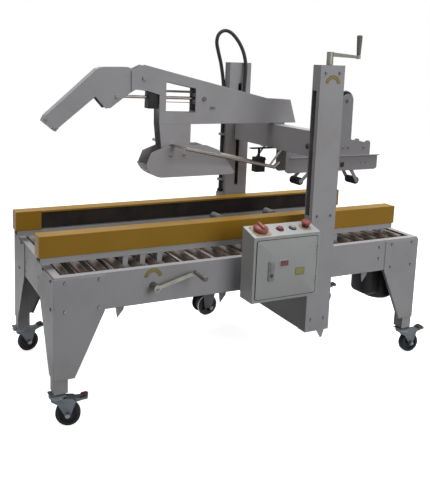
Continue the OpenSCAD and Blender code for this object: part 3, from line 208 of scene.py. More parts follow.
def add_piece(name, shape, material, body, smooth=40.0):
    """Puts a shape into a mesh in the row frame and on its body: doubles at poles are merged, faces point
    outwards, and edges sharper than the smooth angle stay sharp."""
    points, faces = shape
    mesh = bpy.data.meshes.new(name)
    mesh.from_pydata((points / 1000 + BED_CORNER).tolist(), [], faces.tolist())
    bm = bmesh.new()
    bm.from_mesh(mesh)
    bmesh.ops.remove_doubles(bm, verts=bm.verts, dist=2e-6)
    bmesh.ops.dissolve_degenerate(bm, edges=bm.edges, dist=1e-6)
    bmesh.ops.recalc_face_normals(bm, faces=bm.faces)
    for face in bm.faces:
        face.smooth = True
    for edge in bm.edges:
        edge.smooth = len(edge.link_faces) == 2 and edge.calc_face_angle(0) < math.radians(smooth)
    bm.to_mesh(mesh)
    bm.free()
    mesh.materials.append(material)
    piece = bpy.data.objects.new(name, mesh)
    bpy.context.scene.collection.objects.link(piece)
    if body:
        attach(piece, body)
    return piece


# ---- materials ----

def linear(code):
    """An sRGB hex colour as the linear colour that the shader takes."""
    c = np.array([int(code[k:k + 2], 16) / 255 for k in (1, 3, 5)])
    return (*np.where(c <= 0.04045, c / 12.92, ((c + 0.055) / 1.055) ** 2.4), 1.0)


def put(tree, kind, links=None, **settings):
    """Adds a node. Settings are its own properties, and links give a socket its value or the output that feeds it."""
    node = tree.nodes.new("ShaderNode" + kind)
    for name, value in settings.items():
        setattr(node, name, value)
    for socket, value in (links or {}).items():
        if isinstance(value, bpy.types.NodeSocket):
            tree.links.new(value, node.inputs[socket])
        else:
            node.inputs[socket].default_value = value
    return node


def noise(tree, where, scale, detail, roughness=0.5):
    """Cloudy noise about 0.5, whose patches are about 1 / scale metres across."""
    links = {"Vector": where, "Scale": scale, "Detail": detail, "Roughness": roughness}
    return put(tree, "TexNoise", links).outputs[0]


def span(tree, value, low, high, first, last):
    """Runs from first to last while the value runs from low to high, and holds beyond them."""
    return put(tree, "MapRange", {"Value": value, 1: low, 2: high, 3: first, 4: last}).outputs[0]


def mixed(tree, amount, first, second):
    """One colour changed into another by an amount. Each is a hex code or the output that feeds it."""
    first, second = (linear(tone) if isinstance(tone, str) else tone for tone in (first, second))
    return put(tree, "Mix", {0: amount, 6: first, 7: second}, data_type="RGBA").outputs[2]


def maths(tree, operation, *values):
    """The result of a Math node on numbers or outputs."""
    return put(tree, "Math", dict(enumerate(values)), operation=operation).outputs[0]


def bumped(tree, height, strength, distance, **normal):
    """The normal tipped by a height whose full depth is the distance in metres."""
    return put(tree, "Bump", {"Height": height, "Strength": strength, "Distance": distance, **normal}).outputs[0]


def new_material(name):
    """An empty material with its Principled shader, its output and Object coordinates."""
    material = bpy.data.materials.new(name)
    material.use_nodes = True
    tree = material.node_tree
    tree.nodes.clear()
    shader = put(tree, "BsdfPrincipled")
    put(tree, "OutputMaterial", {"Surface": shader.outputs[0]})
    where = put(tree, "TexCoord").outputs["Object"]
    return material, tree, shader, where


def set_shader(tree, shader, sockets):
    """Sets the shader's own sockets, or links them where the value is an output."""
    for socket, value in sockets.items():
        if isinstance(value, bpy.types.NodeSocket):
            tree.links.new(value, shader.inputs[socket])
        else:
            shader.inputs[socket].default_value = value


def powder_coat(name, colour, dust="#8f8a80", rough=0.46, worn="#9a9a98", sheen=0.2):
    """Polyester powder coat baked on folded sheet steel: an even semi-gloss with the soft orange peel of melted
    powder, a few millimetres across, dust that gathers in broad patches and dulls the sheen, and folds rubbed a
    little lighter."""
    material, tree, shader, where = new_material(name)
    peel = noise(tree, where, 260.0, 2.0)                  # about 4 mm
    patches = noise(tree, where, 4.5, 5.0, 0.6)            # about 0.2 m
    specks = noise(tree, where, 90.0, 3.0)                 # about 11 mm
    dusty = maths(tree, "MULTIPLY", span(tree, patches, 0.42, 0.72, 0.0, 0.55), specks)
    round_edge = put(tree, "Bevel", {"Radius": 0.004}, samples=4).outputs[0]
    face = put(tree, "NewGeometry").outputs["Normal"]
    turn = put(tree, "VectorMath", {0: round_edge, 1: face}, operation="DOT_PRODUCT").outputs["Value"]
    rubbed = span(tree, turn, 0.99, 0.80, 0.0, 0.55)
    fold = put(tree, "Bevel", {"Radius": 0.0022}, samples=4).outputs[0]
    set_shader(tree, shader, {"Base Color": mixed(tree, rubbed, mixed(tree, dusty, colour, dust), worn),
                              "Roughness": span(tree, dusty, 0.0, 0.4, rough, rough + 0.2),
                              "Normal": bumped(tree, peel, 0.12, 0.0006, Normal=fold),
                              "IOR": 1.5, "Specular IOR Level": sheen})
    return material


def coated_above(name, colour, level, zinc="#5d6266"):
    """Powder coat that ends at a level in metres: the caster plates under it are pressed steel in dull zinc,
    a darker and colder metal."""
    material = powder_coat(name, colour)
    tree = material.node_tree
    shader = next(node for node in tree.nodes if node.type == "BSDF_PRINCIPLED")
    coat = shader.inputs["Base Color"].links[0].from_socket
    height = put(tree, "SeparateXYZ", {0: put(tree, "TexCoord").outputs["Object"]}).outputs[2]
    bare = maths(tree, "LESS_THAN", height, level)
    set_shader(tree, shader, {"Base Color": mixed(tree, bare, coat, zinc), "Metallic": bare})
    return material


def plated_steel(name, colour, streak_axis, rough=0.34, stain="#6d6a66"):
    """Zinc plating on drawn steel: a bright grey metal with fine draw lines along the bar or tube, cloudy
    where the passivated film is thicker, and dull stains where it has been handled."""
    material, tree, shader, where = new_material(name)
    stretch = [1400.0, 1400.0, 1400.0]                     # draw lines under a millimetre apart, and 60 mm long
    stretch[streak_axis] = 16.0
    drawn = put(tree, "VectorMath", {0: where, 1: stretch}, operation="MULTIPLY").outputs[0]
    lines = noise(tree, drawn, 1.0, 2.0)
    clouds = noise(tree, where, 22.0, 4.0)                 # about 45 mm
    stained = span(tree, clouds, 0.45, 0.75, 0.0, 0.7)
    set_shader(tree, shader, {"Base Color": mixed(tree, stained, colour, stain), "Metallic": 1.0,
                              "Roughness": span(tree, lines, 0.3, 0.7, rough - 0.08, rough + 0.14),
                              "Normal": bumped(tree, lines, 0.1, 0.0002)})
    return material


def moulded_plastic(name, colour, rough=0.4, grain=0.15, grime="#3a3733", grimy=0.12, sheen=0.3):
    """ABS or nylon, injection moulded: an even colour with the fine spark grain of the mould, about a
    millimetre apart, and a trace of grime in the grain."""
    material, tree, shader, where = new_material(name)
    pits = noise(tree, where, 900.0, 1.0)                  # about 1 mm
    patches = noise(tree, where, 35.0, 3.0)                # about 30 mm
    dirt = span(tree, patches, 0.45, 0.8, 0.0, grimy * 2)
    set_shader(tree, shader, {"Base Color": mixed(tree, dirt, colour, grime),
                              "Roughness": span(tree, patches, 0.3, 0.7, rough - 0.06, rough + 0.1),
                              "Normal": bumped(tree, pits, grain, 0.0003), "IOR": 1.49, "Specular IOR Level": sheen})
    return material


def rubber(name, colour, dusty="#57524c", amount=0.45, scale=14.0):
    """Moulded or vulcanised rubber: nearly black and matt, with grey dust rubbed into it in patches and a
    fine grain of about a millimetre."""
    material, tree, shader, where = new_material(name)
    patches = noise(tree, where, scale, 6.0, 0.65)
    grain = noise(tree, where, 1100.0, 1.0)
    dust = span(tree, patches, 0.45, 0.8, 0.0, amount)
    set_shader(tree, shader, {"Base Color": mixed(tree, dust, colour, dusty), "Roughness": 0.7,
                              "Normal": bumped(tree, grain, 0.25, 0.0003), "IOR": 1.52, "Specular IOR Level": 0.2})
    return material


def threaded_steel(name, colour, centre, axis, pitch, radius, root="#45423e"):
    """Rolled screw steel: a cold grey metal whose helix is drawn in the bump, one crest for each pitch in
    millimetres, from the angle round the screw's own axis and the distance along it; oil darkens the roots.
    Bosses and arms wider than the thread's radius stay plain, clouded by handling."""
    material, tree, shader, where = new_material(name)
    local = put(tree, "VectorMath", {0: where, 1: tuple(centre)}, operation="SUBTRACT").outputs[0]
    part = put(tree, "SeparateXYZ", {0: local}).outputs
    across = [part[k] for k in range(3) if k != axis]
    turns = maths(tree, "DIVIDE", maths(tree, "ARCTAN2", *across), 2 * math.pi)
    flank = maths(tree, "PINGPONG", maths(tree, "MULTIPLY_ADD", part[axis], 1000 / pitch, turns), 0.5)
    squares = [maths(tree, "MULTIPLY", side, side) for side in across]
    reach = maths(tree, "POWER", maths(tree, "ADD", *squares), 0.5)
    plain = span(tree, reach, radius / 1000, (radius + 0.8) / 1000, 0.0, 1.0)
    height = put(tree, "Mix", {0: plain, 2: flank, 3: 0.5}).outputs[0]
    clouds = noise(tree, where, 30.0, 4.0)                 # about 33 mm
    level = put(tree, "Mix", {0: plain, 2: flank, 3: span(tree, clouds, 0.4, 0.75, 0.5, 0.3)}).outputs[0]
    set_shader(tree, shader, {"Base Color": mixed(tree, maths(tree, "MULTIPLY", level, 2.0), root, colour),
                              "Metallic": 1.0, "Roughness": span(tree, clouds, 0.3, 0.7, 0.38, 0.5),
                              "Normal": bumped(tree, height, 0.8, 0.0015)})
    return material


def belt_fabric(name, colour):
    """Two-ply belting with a rough rubber face: black, matt, with short ribs across the belt every 5 mm
    that grip the carton, and grey paper dust caught between them."""
    material, tree, shader, where = new_material(name)
    along = put(tree, "SeparateXYZ", {0: where}).outputs[0]
    ribs = maths(tree, "PINGPONG", maths(tree, "MULTIPLY", along, 200.0), 0.5)
    dust = span(tree, noise(tree, where, 9.0, 5.0), 0.4, 0.75, 0.0, 0.4)      # patches of about 0.1 m
    set_shader(tree, shader, {"Base Color": mixed(tree, dust, colour, "#4c443e"), "Roughness": 0.78,
                              "Normal": bumped(tree, ribs, 0.35, 0.0008), "IOR": 1.5, "Specular IOR Level": 0.2})
    return material


ALONG, ACROSS, UP = 0, 1, 2                # axes that draw lines and threads follow
BODY_GREY = "#a5a4a8"
PLATE_TOP = 0.1255                         # top of the casters' plates above the floor, in metres
finish = {
    # Baked powder coats: even semi-gloss sheet metal, dusty and rubbed at its folds
    "grey_paint": powder_coat("grey_powder_coat_on_steel", BODY_GREY),
    "light_paint": powder_coat("light_powder_coat_on_steel", "#a9aaab", dust="#96928f", worn="#b0b0ae"),
    "head_steel": powder_coat("grey_powder_coat_on_head_plates", "#89888c", worn="#9a999c"),
    "yellow_paint": powder_coat("yellow_powder_coat_on_steel", "#96701b", dust="#7c6528", worn="#a27e2c", rough=0.44),
    # Black enamel on cast iron: dark, with little sheen; and a dark brown sheet with little sheen, painted shade for
    # the gaps under the rollers
    "motor_black": powder_coat("black_enamel_on_cast_iron", "#1c1b1e", dust="#2c2a29", rough=0.5,
                               worn="#262527", sheen=0.15),
    "dark_shade_sheet": powder_coat("dark_sheet_painting_shade_under_rollers", "#453e3a", dust="#5a4f48", worn="#4c4642", sheen=0.15),
    # Zinc, from the bright rings to the dusty swivel races, the caster steel darkened as painted shade, and the
    # darker, brownish zinc of the rollers
    "bright_steel": plated_steel("bright_zinc_on_drawn_steel", "#a9a9a6", UP, rough=0.3),
    "race_steel": plated_steel("bright_zinc_on_pressed_rings", "#a0a4a8", UP, rough=0.3, stain="#85868a"),
    "bolts": plated_steel("dull_zinc_on_bolt_heads", "#6b6a72", UP, rough=0.42, stain="#4c4a4f"),
    "race_zinc": plated_steel("dusty_zinc_on_swivel_races", "#63676b", UP, rough=0.5, stain="#4b4d4f"),
    # The caster steel's zinc is darkened as painted shade of the shadow the casters stand in
    "caster_zinc": plated_steel("caster_zinc_darkened_as_painted_shade", "#53585c", ALONG, rough=0.52, stain="#404246"),
    "zinc_rollers": plated_steel("zinc_on_roller_tube", "#857a73", ACROSS, rough=0.4, stain="#5d524b"),
    "rod_steel": plated_steel("bent_round_bar_zinc", "#87817b", ALONG, rough=0.38),
    # Other metals drawn or ground along their length: oiled chain, hard chrome and dark anodised aluminium
    "chain_steel": plated_steel("oiled_chain_steel", "#5a5855", ACROSS, rough=0.45, stain="#3b3835"),
    "chrome_rod": plated_steel("hard_chrome_on_ground_bar", "#76726f", ALONG, rough=0.3, stain="#5f5b58"),
    "cylinder_aluminium": plated_steel("dark_anodised_aluminium_extrusion", "#575351", ALONG, rough=0.5,
                                       stain="#46403d"),
    # Moulded plastics: satin, finely grained, grimy where hands reach
    "red_plastic": moulded_plastic("red_abs_moulding", "#8e2f2b", rough=0.36, grime="#5b2522"),
    "grey_plastic": moulded_plastic("grey_abs_moulding", "#9b9a95"),
    "black_plastic": moulded_plastic("black_nylon_moulding", "#1c1c1e", rough=0.45, sheen=0.2),
    "conduit_nylon": moulded_plastic("corrugated_nylon_tube", "#1f1e20", rough=0.42),
    "dark_grip": moulded_plastic("dark_phenolic_grip", "#6a6a64", rough=0.4, grime="#44433f"),
    "dark_knob": moulded_plastic("dark_phenolic_knob", "#3b2c2c", rough=0.35),
    "lock_plastic": moulded_plastic("die_cast_lock_in_satin_paint", "#8b888d", rough=0.38, grimy=0.2),
    "lock_dark": moulded_plastic("black_nylon_insert", "#3a3033", rough=0.4),
    "plate_plastic": moulded_plastic("yellowed_abs_switch_plate", "#a98f6d", rough=0.45, grimy=0.25),
    "switch_red": moulded_plastic("red_nylon_switch_handle", "#87483d", rough=0.38, grime="#5b3029"),
    "stop_red": moulded_plastic("red_abs_push_button", "#8a3e46", rough=0.3, grime="#5a2a30"),
    "start_grey": moulded_plastic("grey_abs_push_button", "#9c9a97", rough=0.3),
    "mushroom_red": moulded_plastic("red_abs_mushroom", "#9a4a4e", rough=0.32, grime="#5e3032"),
    # Acrylic and printed foils: smooth, the display's almost a mirror
    "smoked_red": moulded_plastic("smoked_red_acrylic_window", "#74333a", rough=0.14, grain=0.02, grimy=0.05),
    "olive_foil": moulded_plastic("olive_polyester_foil", "#77704a", rough=0.5, grain=0.05),
    "pale_green_foil": moulded_plastic("pale_green_polyester_foil", "#8f9056", rough=0.45, grain=0.05, grimy=0.2),
    "yellow_foil": moulded_plastic("yellow_polyester_foil", "#8f7f4a", rough=0.45, grain=0.05, grimy=0.3),
    # Rubbers: matt, grey with dust; wheels and pedals in smaller patches than the belts
    "belt_rubber": belt_fabric("rough_top_belting", "#211d1c"),
    "black_rubber": rubber("black_rubber_moulding", "#1c1b1d", dusty="#454140"),
    "wheel_rubber": rubber("black_rubber_wheel_tread", "#212325", dusty="#393a3a", amount=0.5, scale=40.0),
    # Dark grey band round the control door: painted shade of the gap between door and box
    "gap_shade_band": rubber("dark_band_painting_door_gap_shade", "#4b484a", dusty="#6a6768", scale=60.0),
    "dark_red_tread": rubber("dark_red_pedal_rubber", "#4a2a2f", dusty="#6b5a58", scale=60.0),
    # Olive-grey pedal rubber: the red pedal rubber painted as it looks in shade
    "red_tread_in_painted_shade": rubber("olive_grey_pedal_rubber_painting_shade", "#45463a", dusty="#66645a", scale=60.0),
}
finish_of = {"leg_feet": coated_above("grey_powder_coat_over_zinc_plates", BODY_GREY, PLATE_TOP)}
joints = {joint["name"]: joint for joint in frame["record"]["behaviour"]["joints"]}
# Each screw's joint, its axis, its pitch and the outer radius of its thread in millimetres
screws = {"front_lift_screw": ("height_crank_turn", UP, 5.0, 10.0),
          "rear_lift_screw": ("rear_screw_turn", UP, 5.0, 10.0),
          "width_screw": ("width_crank_turn", ACROSS, 4.0, 8.0)}
slot_of = {part["node"]: part["material_slot"] for part in frame["record"]["subparts"]}
for name, node in nodes.items():
    coat = finish_of.get(name, finish[slot_of[name]])
    if name in screws:
        joint, axis, pitch, radius = screws[name]
        coat = threaded_steel(name + "_rolled_steel", "#74756e", joints[joint]["pos_m"], axis, pitch, radius)
    for place in node.material_slots:
        place.material = coat


# ---- small parts and shapes that the CAD leaves plain ----

bed, legs, mast = box_mm("bed_frame"), box_mm("legs"), box_mm("front_mast")
boom, sled, arm = box_mm("boom_plates"), box_mm("flap_sled"), box_mm("kicker_arm")
beam, top_head, door = box_mm("head_beam"), box_mm("top_head_frame"), box_mm("control_door")
FRONT, BACK, INFEED, OUTFEED = (0, -1, 0), (0, 1, 0), (-1, 0, 0), (1, 0, 0)


def pivot(name):
    """A joint's place in machine millimetres and the direction of its axis."""
    return (np.array(joints[name]["pos_m"]) - BED_CORNER) * 1000, np.array(joints[name]["axis"])


def heads(shape, places, facing, turn=0.0):
    """The same head set on every place, each turned a little further than the last."""
    return [aimed(shape, p, facing, turn + 23.0 * k) for k, p in enumerate(places)]


def raised(shape, height):
    """The shape moved up its own Z."""
    return shape[0] + np.array([0, 0, height]), shape[1]


def on_plate(places, y):
    """Places of (x, z) on an upright plate at a distance y from the front."""
    return [(x, y, z) for x, z in places]


def rim(outline, section):
    """A closed section of (distance outwards, height) carried round a closed outline, square to it."""
    p = np.array(outline, float)
    along = np.roll(p, -1, 0) - np.roll(p, 1, 0)
    normal = np.stack([along[:, 1], -along[:, 0]], -1) / np.linalg.norm(along, axis=1)[:, None]
    out, height = np.array([*section, section[0]], float).T
    flat = p[:, None] + out[None, :, None] * normal[:, None]
    points = np.concatenate([flat, np.broadcast_to(height[None, :, None], flat.shape[:2] + (1,))], -1)
    return np.concatenate([points, points[:1]]).reshape(-1, 3), quads(len(p) + 1, len(section) + 1, False)


def part_ring(section, start, end, steps=28):
    """A closed (radius, height) section carried round Z between two angles in degrees; both ends close to
    the section's middle."""
    t = np.radians(np.linspace(start, end, steps))
    r, h = np.array([*section, section[0]], float).T
    points = np.stack([np.outer(np.cos(t), r), np.outer(np.sin(t), r), np.repeat(h[None], steps, 0)], -1)
    ends = [np.repeat(points[k, :-1].mean(0)[None, None], len(r), 1) for k in (0, -1)]
    return np.concatenate([ends[0], points, ends[1]]).reshape(-1, 3), quads(steps + 2, len(r), False)


# Bolts of the frame

def frame_bolts():
    """Bolts through the legs, the end walls and both masts, and the pair before the outfeed leg. Every place is
    a distance in from an edge of the legs, the bed or the mast."""
    leg_xs = [legs[0][0] + d for d in (43, 175)] + [legs[1][0] - d for d in (163, 39)]
    leg_places = [(x, legs[1][2] - d) for x in leg_xs for d in (15, 125)]
    apron_pair = [(bed[0][0] + 1537, bed[1][2] - d) for d in (30, 84)]
    mast_places = [(x, mast[1][2] - d) for x in (mast[0][0] + 28, mast[1][0] - 27) for d in (33, 641, 1104)]
    end_places = [(43, 16), (43, 125), (161, 6), (551, 6), (590, 130)]
    infeed, outfeed = ([(x, legs[0][1] + y, legs[1][2] - d) for y, d in end_places] for x in (legs[0][0], legs[1][0]))
    front = on_plate(leg_places, legs[0][1]) + on_plate(apron_pair, bed[0][1]) + on_plate(mast_places, mast[0][1])
    back = on_plate(leg_places, legs[1][1]) + on_plate(mast_places, box_mm("rear_mast")[1][1])
    bolt = hex_bolt(6.6)
    return joined(heads(bolt, front, FRONT, 8) + heads(bolt, back, BACK, 31)
                  + heads(bolt, infeed, INFEED, 12) + heads(bolt, outfeed, OUTFEED, 3))


add_piece("frame_bolts", frame_bolts(), finish["bolts"], "frame")

# Dark sheet under the back half of the rollers, hung from the cross members: painted shade that makes the gaps
# between the rollers dark

SHADE_SHEET_LENGTH, SHADE_SHEET_WIDTH, SHADE_SHEET_THICKNESS = 1512.0, 252.0, 1.5
SHADE_SHEET_START, SHADE_SHEET_MIDDLE, SHADE_SHEET_DROP = 8.0, 528.0, 136.0     # from the infeed end, from the front, below the bed's rim
lip = [(0, 0), (0, SHADE_SHEET_THICKNESS), (-1.2, SHADE_SHEET_THICKNESS), (-1.2, 8), (-2.7, 8), (-2.7, 0)]
shade_sheet_shape = joined([soft_block((SHADE_SHEET_LENGTH - 2, SHADE_SHEET_WIDTH - 2, SHADE_SHEET_THICKNESS), 5, 0.5),
               rim(rounded_rectangle(SHADE_SHEET_LENGTH, SHADE_SHEET_WIDTH, 6), lip)])
shade_sheet_at = (bed[0][0] + SHADE_SHEET_START + SHADE_SHEET_LENGTH / 2, bed[0][1] + SHADE_SHEET_MIDDLE, bed[1][2] - SHADE_SHEET_DROP)
# The sheet is painted shade: a dark surface where the bed's inside is only shadow
add_piece("shade_sheet_under_rollers", aimed(shade_sheet_shape, shade_sheet_at), finish["dark_shade_sheet"], "frame")

# Drive motors: bell housing, two clamp rings and a gearbox with rounded corners

MOTOR_R = 75.0


def motor(node):
    """A bell whose (radius, height) profile is carried round the drive shaft, a ring of square section at each
    end of its body, and a gearbox: a rounded rectangle carried up, inset along a quarter circle at its foot."""
    low, high = box_mm(node)
    middle = np.array([high[0] - MOTOR_R, (low[1] + high[1]) / 2, 0])
    bell = turned([(0, 257), (46, 257), (60, 260), (69, 267), (74, 278), (MOTOR_R, 292), (MOTOR_R, 362), (71, 368),
                   (71, 424), (0, 425)], 56)
    t = np.linspace(0, math.pi / 2, 6)
    rolled = [(22 * (1 - math.sin(a)), 22 * (1 - math.cos(a))) for a in t]
    gearbox = stacked(rounded_rectangle(116, 130, 40, 8), [*rolled, (0, 136), (5, 138)])
    bands = [turned([(74, z), (76, z), (76, z + 2.5), (74, z + 2.5), (74, z)], 56) for z in (296, 352)]
    return joined([aimed(part, middle) for part in (bell, *bands)] + [aimed(gearbox, middle + [-70, 0, 285])])


for side in ("front", "rear"):
    housing = add_piece(side + "_motor_housing", motor(side + "_motor"), finish["motor_black"], side + "_unit")
    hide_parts(side + "_motor")

# Screws of the boom, the sled and the top tape head, at (x, z), then those of the kicker

plate_y = top_head[0][1] + 12
boom_places = [(boom[0][0] + d, 1176) for d in (381, 396)]
sled_places = [(592, 970), (656, 972)]
head_places = [(1538, 976), (1569, 975), (1668, 973), (1662, 898), (1691, 897)]
screw = cap_screw(8.0)
head_screws = [*heads(screw, on_plate(boom_places, boom[0][1]), FRONT),
               *heads(screw, on_plate(boom_places, boom[1][1]), BACK),
               *heads(screw, on_plate(sled_places, sled[0][1]), FRONT),
               *heads(screw, on_plate(sled_places, sled[1][1]), BACK),
               *heads(screw, on_plate(head_places, plate_y), FRONT)]
add_piece("head_screws", joined(head_screws), finish["bolts"], "head")
arm_places = [(arm[0][0] + 9, 1131), (arm[0][0] + 46, 1096)]
add_piece("kicker_screws", joined(heads(screw, on_plate(arm_places, arm[0][1] + 10), FRONT)), finish["bolts"],
          "kicker")

# Clamp knob on the head beam, and the dark window of the tape cutter

knob = turned([(0, 0), (8, 0), (8, 4), (11, 5), (12.5, 9), (11.5, 14), (8, 17), (0, 18)], 20)
knob_at = (beam[0][0] + 16, beam[0][1] + 85, 1030)
add_piece("beam_clamp_knob", aimed(knob, knob_at, INFEED), finish["dark_knob"], "head")
cutter_window = aimed(soft_block((24, 24, 1.2), 3, 0.5), (1539, plate_y, 890), FRONT)
add_piece("tape_cutter_window", cutter_window, finish["black_plastic"], "head")

# Door of the control box: panel, a dark band round it that paints the shade of the gap between door and box, hinges,
# lock, display and a bare plate

DOOR_SHEET, DOOR_CORNER = 2.7, 7.0
LOCK_X, DISPLAY, PLATE = 69.0, (130.5, 141.0), (208.5, 100.0)     # on the door's face, see on_door
DISPLAY_SIZE, PLATE_SIZE = (38.0, 22.0), (40.0, 27.0)
hinge_at, _ = pivot("door_swing")
door_w, door_h = hinge_at[0] - 2 - door[0][0], door[1][2] - door[0][2]
door_mid = np.array([door[0][0] + door_w / 2, hinge_at[1] + 3.7, (door[0][2] + door[1][2]) / 2])


def on_door(x, z, out=0.0):
    """Point on the door's face at a distance from its lock edge and from its lower edge, and so far out of it."""
    return np.array([door[0][0] + x, door_mid[1] - DOOR_SHEET - out, door[0][2] + z])


def on_face(name, shape, x, z, material, slot, out=0.0):
    """Adds a piece that stands on the door's face."""
    add_piece(name, aimed(shape, on_door(x, z, out), FRONT), finish[material], "door")


panel = add_piece("door_panel", aimed(soft_block((door_w, door_h, DOOR_SHEET), DOOR_CORNER, 1.0), door_mid, FRONT),
                  finish["light_paint"], "door")
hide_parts("control_door")
# A dark grey band round the panel's edge, painted shade of the gap between door and box
gap_band = rim(rounded_rectangle(door_w, door_h, DOOR_CORNER), [(0.2, 0), (2.2, 0), (2.2, 2.0), (1.6, 3.0), (0.2, 3.0)])
add_piece("door_gap_shade_band", aimed(gap_band, door_mid, FRONT), finish["gap_shade_band"], "door")
knuckle = turned([(0, 0), (3.8, 0), (3.8, 12.6), (3.3, 13.2), (3.8, 13.8), (3.8, 26.2), (3.3, 26.8), (3.8, 27.4),
                  (3.8, 40), (0, 40)], 16)
hinges = [aimed(knuckle, (hinge_at[0], hinge_at[1], door[0][2] + z)) for z in (36, 166)]
add_piece("door_hinges", joined(hinges), finish["light_paint"], "door")
lock = [aimed(soft_block((30, 84, 5), 8, 1.8), on_door(LOCK_X, 115), FRONT),
        aimed(soft_block((17, 40, 3.4), 6, 1.6), on_door(LOCK_X, 132, 5), FRONT)]
add_piece("door_lock", joined(lock), finish["lock_plastic"], "door")
key_hole = turned([(0, 0), (8, 0), (8, 2.2), (7, 3), (2, 3), (1.5, 1.6), (0, 1.6)], 24)
on_face("lock_cylinder", key_hole, LOCK_X, 96, "lock_dark", "black_plastic", 5)
bezel = rim(rounded_rectangle(*DISPLAY_SIZE, 2), [(0, 0), (3, 0), (3, 1.0), (2, 1.8), (0, 1.8)])
on_face("display_bezel", bezel, *DISPLAY, "light_paint", "light_paint")
on_face("display_window", soft_block((*DISPLAY_SIZE, 1.2), 1.5, 0.4), *DISPLAY, "smoked_red", "red_plastic")
border = rim(rounded_rectangle(*PLATE_SIZE, 2), [(0, 0), (3, 0), (3, 0.5), (2.4, 0.9), (0, 0.9)])
on_face("bare_plate_border", border, *PLATE, "olive_foil", "yellow_paint")
on_face("bare_plate", soft_block((*PLATE_SIZE, 0.9), 1.5, 0.3), *PLATE, "pale_green_foil", "yellow_paint")

# Controls on the sloping panel

panel_at, panel_up = pivot("main_switch_turn")


def on_panel(node):
    """Middle of the sloping panel at a control's place along the box."""
    low, high = box_mm(node)
    return np.array([(low[0] + high[0]) / 2, panel_at[1], panel_at[2]])


def fitted(name, shape, node, material, body, stands_for=None):
    """A piece set on the sloping panel over a control's CAD node, which it may stand for."""
    piece = add_piece(name, aimed(shape, on_panel(node), panel_up), finish[material], body)
    if stands_for:
        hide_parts(stands_for)


fitted("switch_plate", soft_block((70, 72, 2.2), 5, 0.8), "power_switch", "plate_plastic", "frame")
handle = [turned([(0, -8), (11.5, -8), (11.5, 2.4), (29, 2.4), (29, 9), (31, 10), (31, 15), (29, 19), (23, 22),
                  (13, 24), (0, 24.5)], 40), raised(soft_block((17, 52, 13), 8, 4), 18)]
fitted("switch_handle", joined(handle), "power_switch", "switch_red", "main_switch", "power_switch")
ring = turned([(12.6, 0), (16.5, 0), (16.5, 2.6), (14.8, 4.6), (12.6, 4.6), (12.6, 0)], 32)
fitted("stop_ring", ring, "stop_button", "lock_dark", "frame")
fitted("start_ring", ring, "start_button", "lock_dark", "frame")
key = turned([(0, -8), (8.8, -8), (8.8, 4.8), (12, 4.8), (12, 9.2), (11.2, 10.8), (8, 11.8), (0, 12.2)], 32)
fitted("stop_cap", key, "stop_button", "stop_red", "stop_key", "stop_button")
fitted("start_cap", key, "start_button", "start_grey", "start_key", "start_button")
fitted("emergency_base", turned([(0, 0), (26, 0), (26, 1.4), (25, 2.2), (0, 2.2)], 40), "emergency_stop",
       "plate_plastic", "frame")
fitted("emergency_collar", turned([(10.2, 2), (15.5, 2), (15.5, 6.5), (13.8, 8.4), (10.2, 8.4), (10.2, 2)], 32),
       "emergency_stop", "lock_dark", "frame")
mushroom = turned([(0, -8), (8.8, -8), (8.8, 14.6), (13, 15), (18.5, 17.4), (20, 20.6), (19.6, 23.6), (17, 27.2),
                   (12.5, 29.6), (6, 30.8), (0, 31)], 40)
fitted("emergency_head", mushroom, "emergency_stop", "mushroom_red", "emergency_key", "emergency_stop")

# Bare arched plates over the two cranks

width_at, _ = pivot("width_crank_turn")
outer = part_ring([(23, 0), (39, 0), (39, 0.5), (23, 0.5)], 9, 171)
inner = part_ring([(26, 0.4), (36, 0.4), (36, 0.9), (26, 0.9)], 13, 167)
for name, at in (("width", (width_at[0], bed[0][1], width_at[2] + 30)),
                 ("height", (mast[0][0] + 65, mast[0][1], 1299))):
    add_piece(name + "_arch_border", aimed(outer, at, FRONT), finish["olive_foil"], "frame")
    add_piece(name + "_arch", aimed(inner, at, FRONT), finish["yellow_foil"], "frame")

# Corrugated conduit from the rear mast over to the head beam

LOOP_CORNER = np.array([mast[0][0], bed[1][1], 0.0])     # the masts' infeed face and the bed's back edge
CONDUIT_LOOP = [(-12, 37, 700), (-12, 37, 850), (-12, 37, 1000), (-12, 37, 1200), (-20, 36, 1290), (-37, 34, 1370),
                (-56, 32, 1430), (-68, 30, 1475), (-64, 27, 1510), (-46, 24, 1531.5), (-20, 19, 1537.5),
                (10, 13, 1524), (42, 4, 1488), (66, -5, 1442), (78, -13, 1395), (81, -18, 1350), (77, -23, 1300),
                (70, -29, 1240), (64, -35, 1180), (62.5, -39, 1140), (62.5, -39, 1111)]
CONDUIT_R, WAVE_DEPTH, WAVE, STEP = 9.3, 0.6, 6.0, 1.5


def conduit():
    """The route through its points as one smooth curve, and a circle carried along it whose radius follows
    a cosine of the length, one wave every 6 mm."""
    route = np.array(CONDUIT_LOOP) + LOOP_CORNER
    count = int(smooth_path(route, 400)[1] / STEP)
    waves = np.cos(2 * math.pi * np.arange(count) * STEP / WAVE)
    return carried(smooth_path(route, count)[0], CONDUIT_R + WAVE_DEPTH * waves, 12)


hose = add_piece("corrugated_conduit", conduit(), finish["conduit_nylon"], None, 60)
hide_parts("cable_conduit")
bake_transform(hose)
gland = turned([(10.6, 0), (15, 0), (16, 1.5), (16, 9), (15, 10.5), (14, 11), (14, 15), (12, 17), (10.6, 17),
                (10.6, 0)], 24)
mast_end, beam_end = np.array(CONDUIT_LOOP[0]) + LOOP_CORNER, np.array(CONDUIT_LOOP[-1]) + LOOP_CORNER
add_piece("mast_gland", aimed(gland, mast_end + [0, 0, 1]), finish["black_plastic"], "frame")
add_piece("beam_gland", aimed(gland, (*beam_end[:2], beam[1][2] + 0.5)), finish["black_plastic"], "head")

# Casters: axle nuts, swivel races and pedal treads

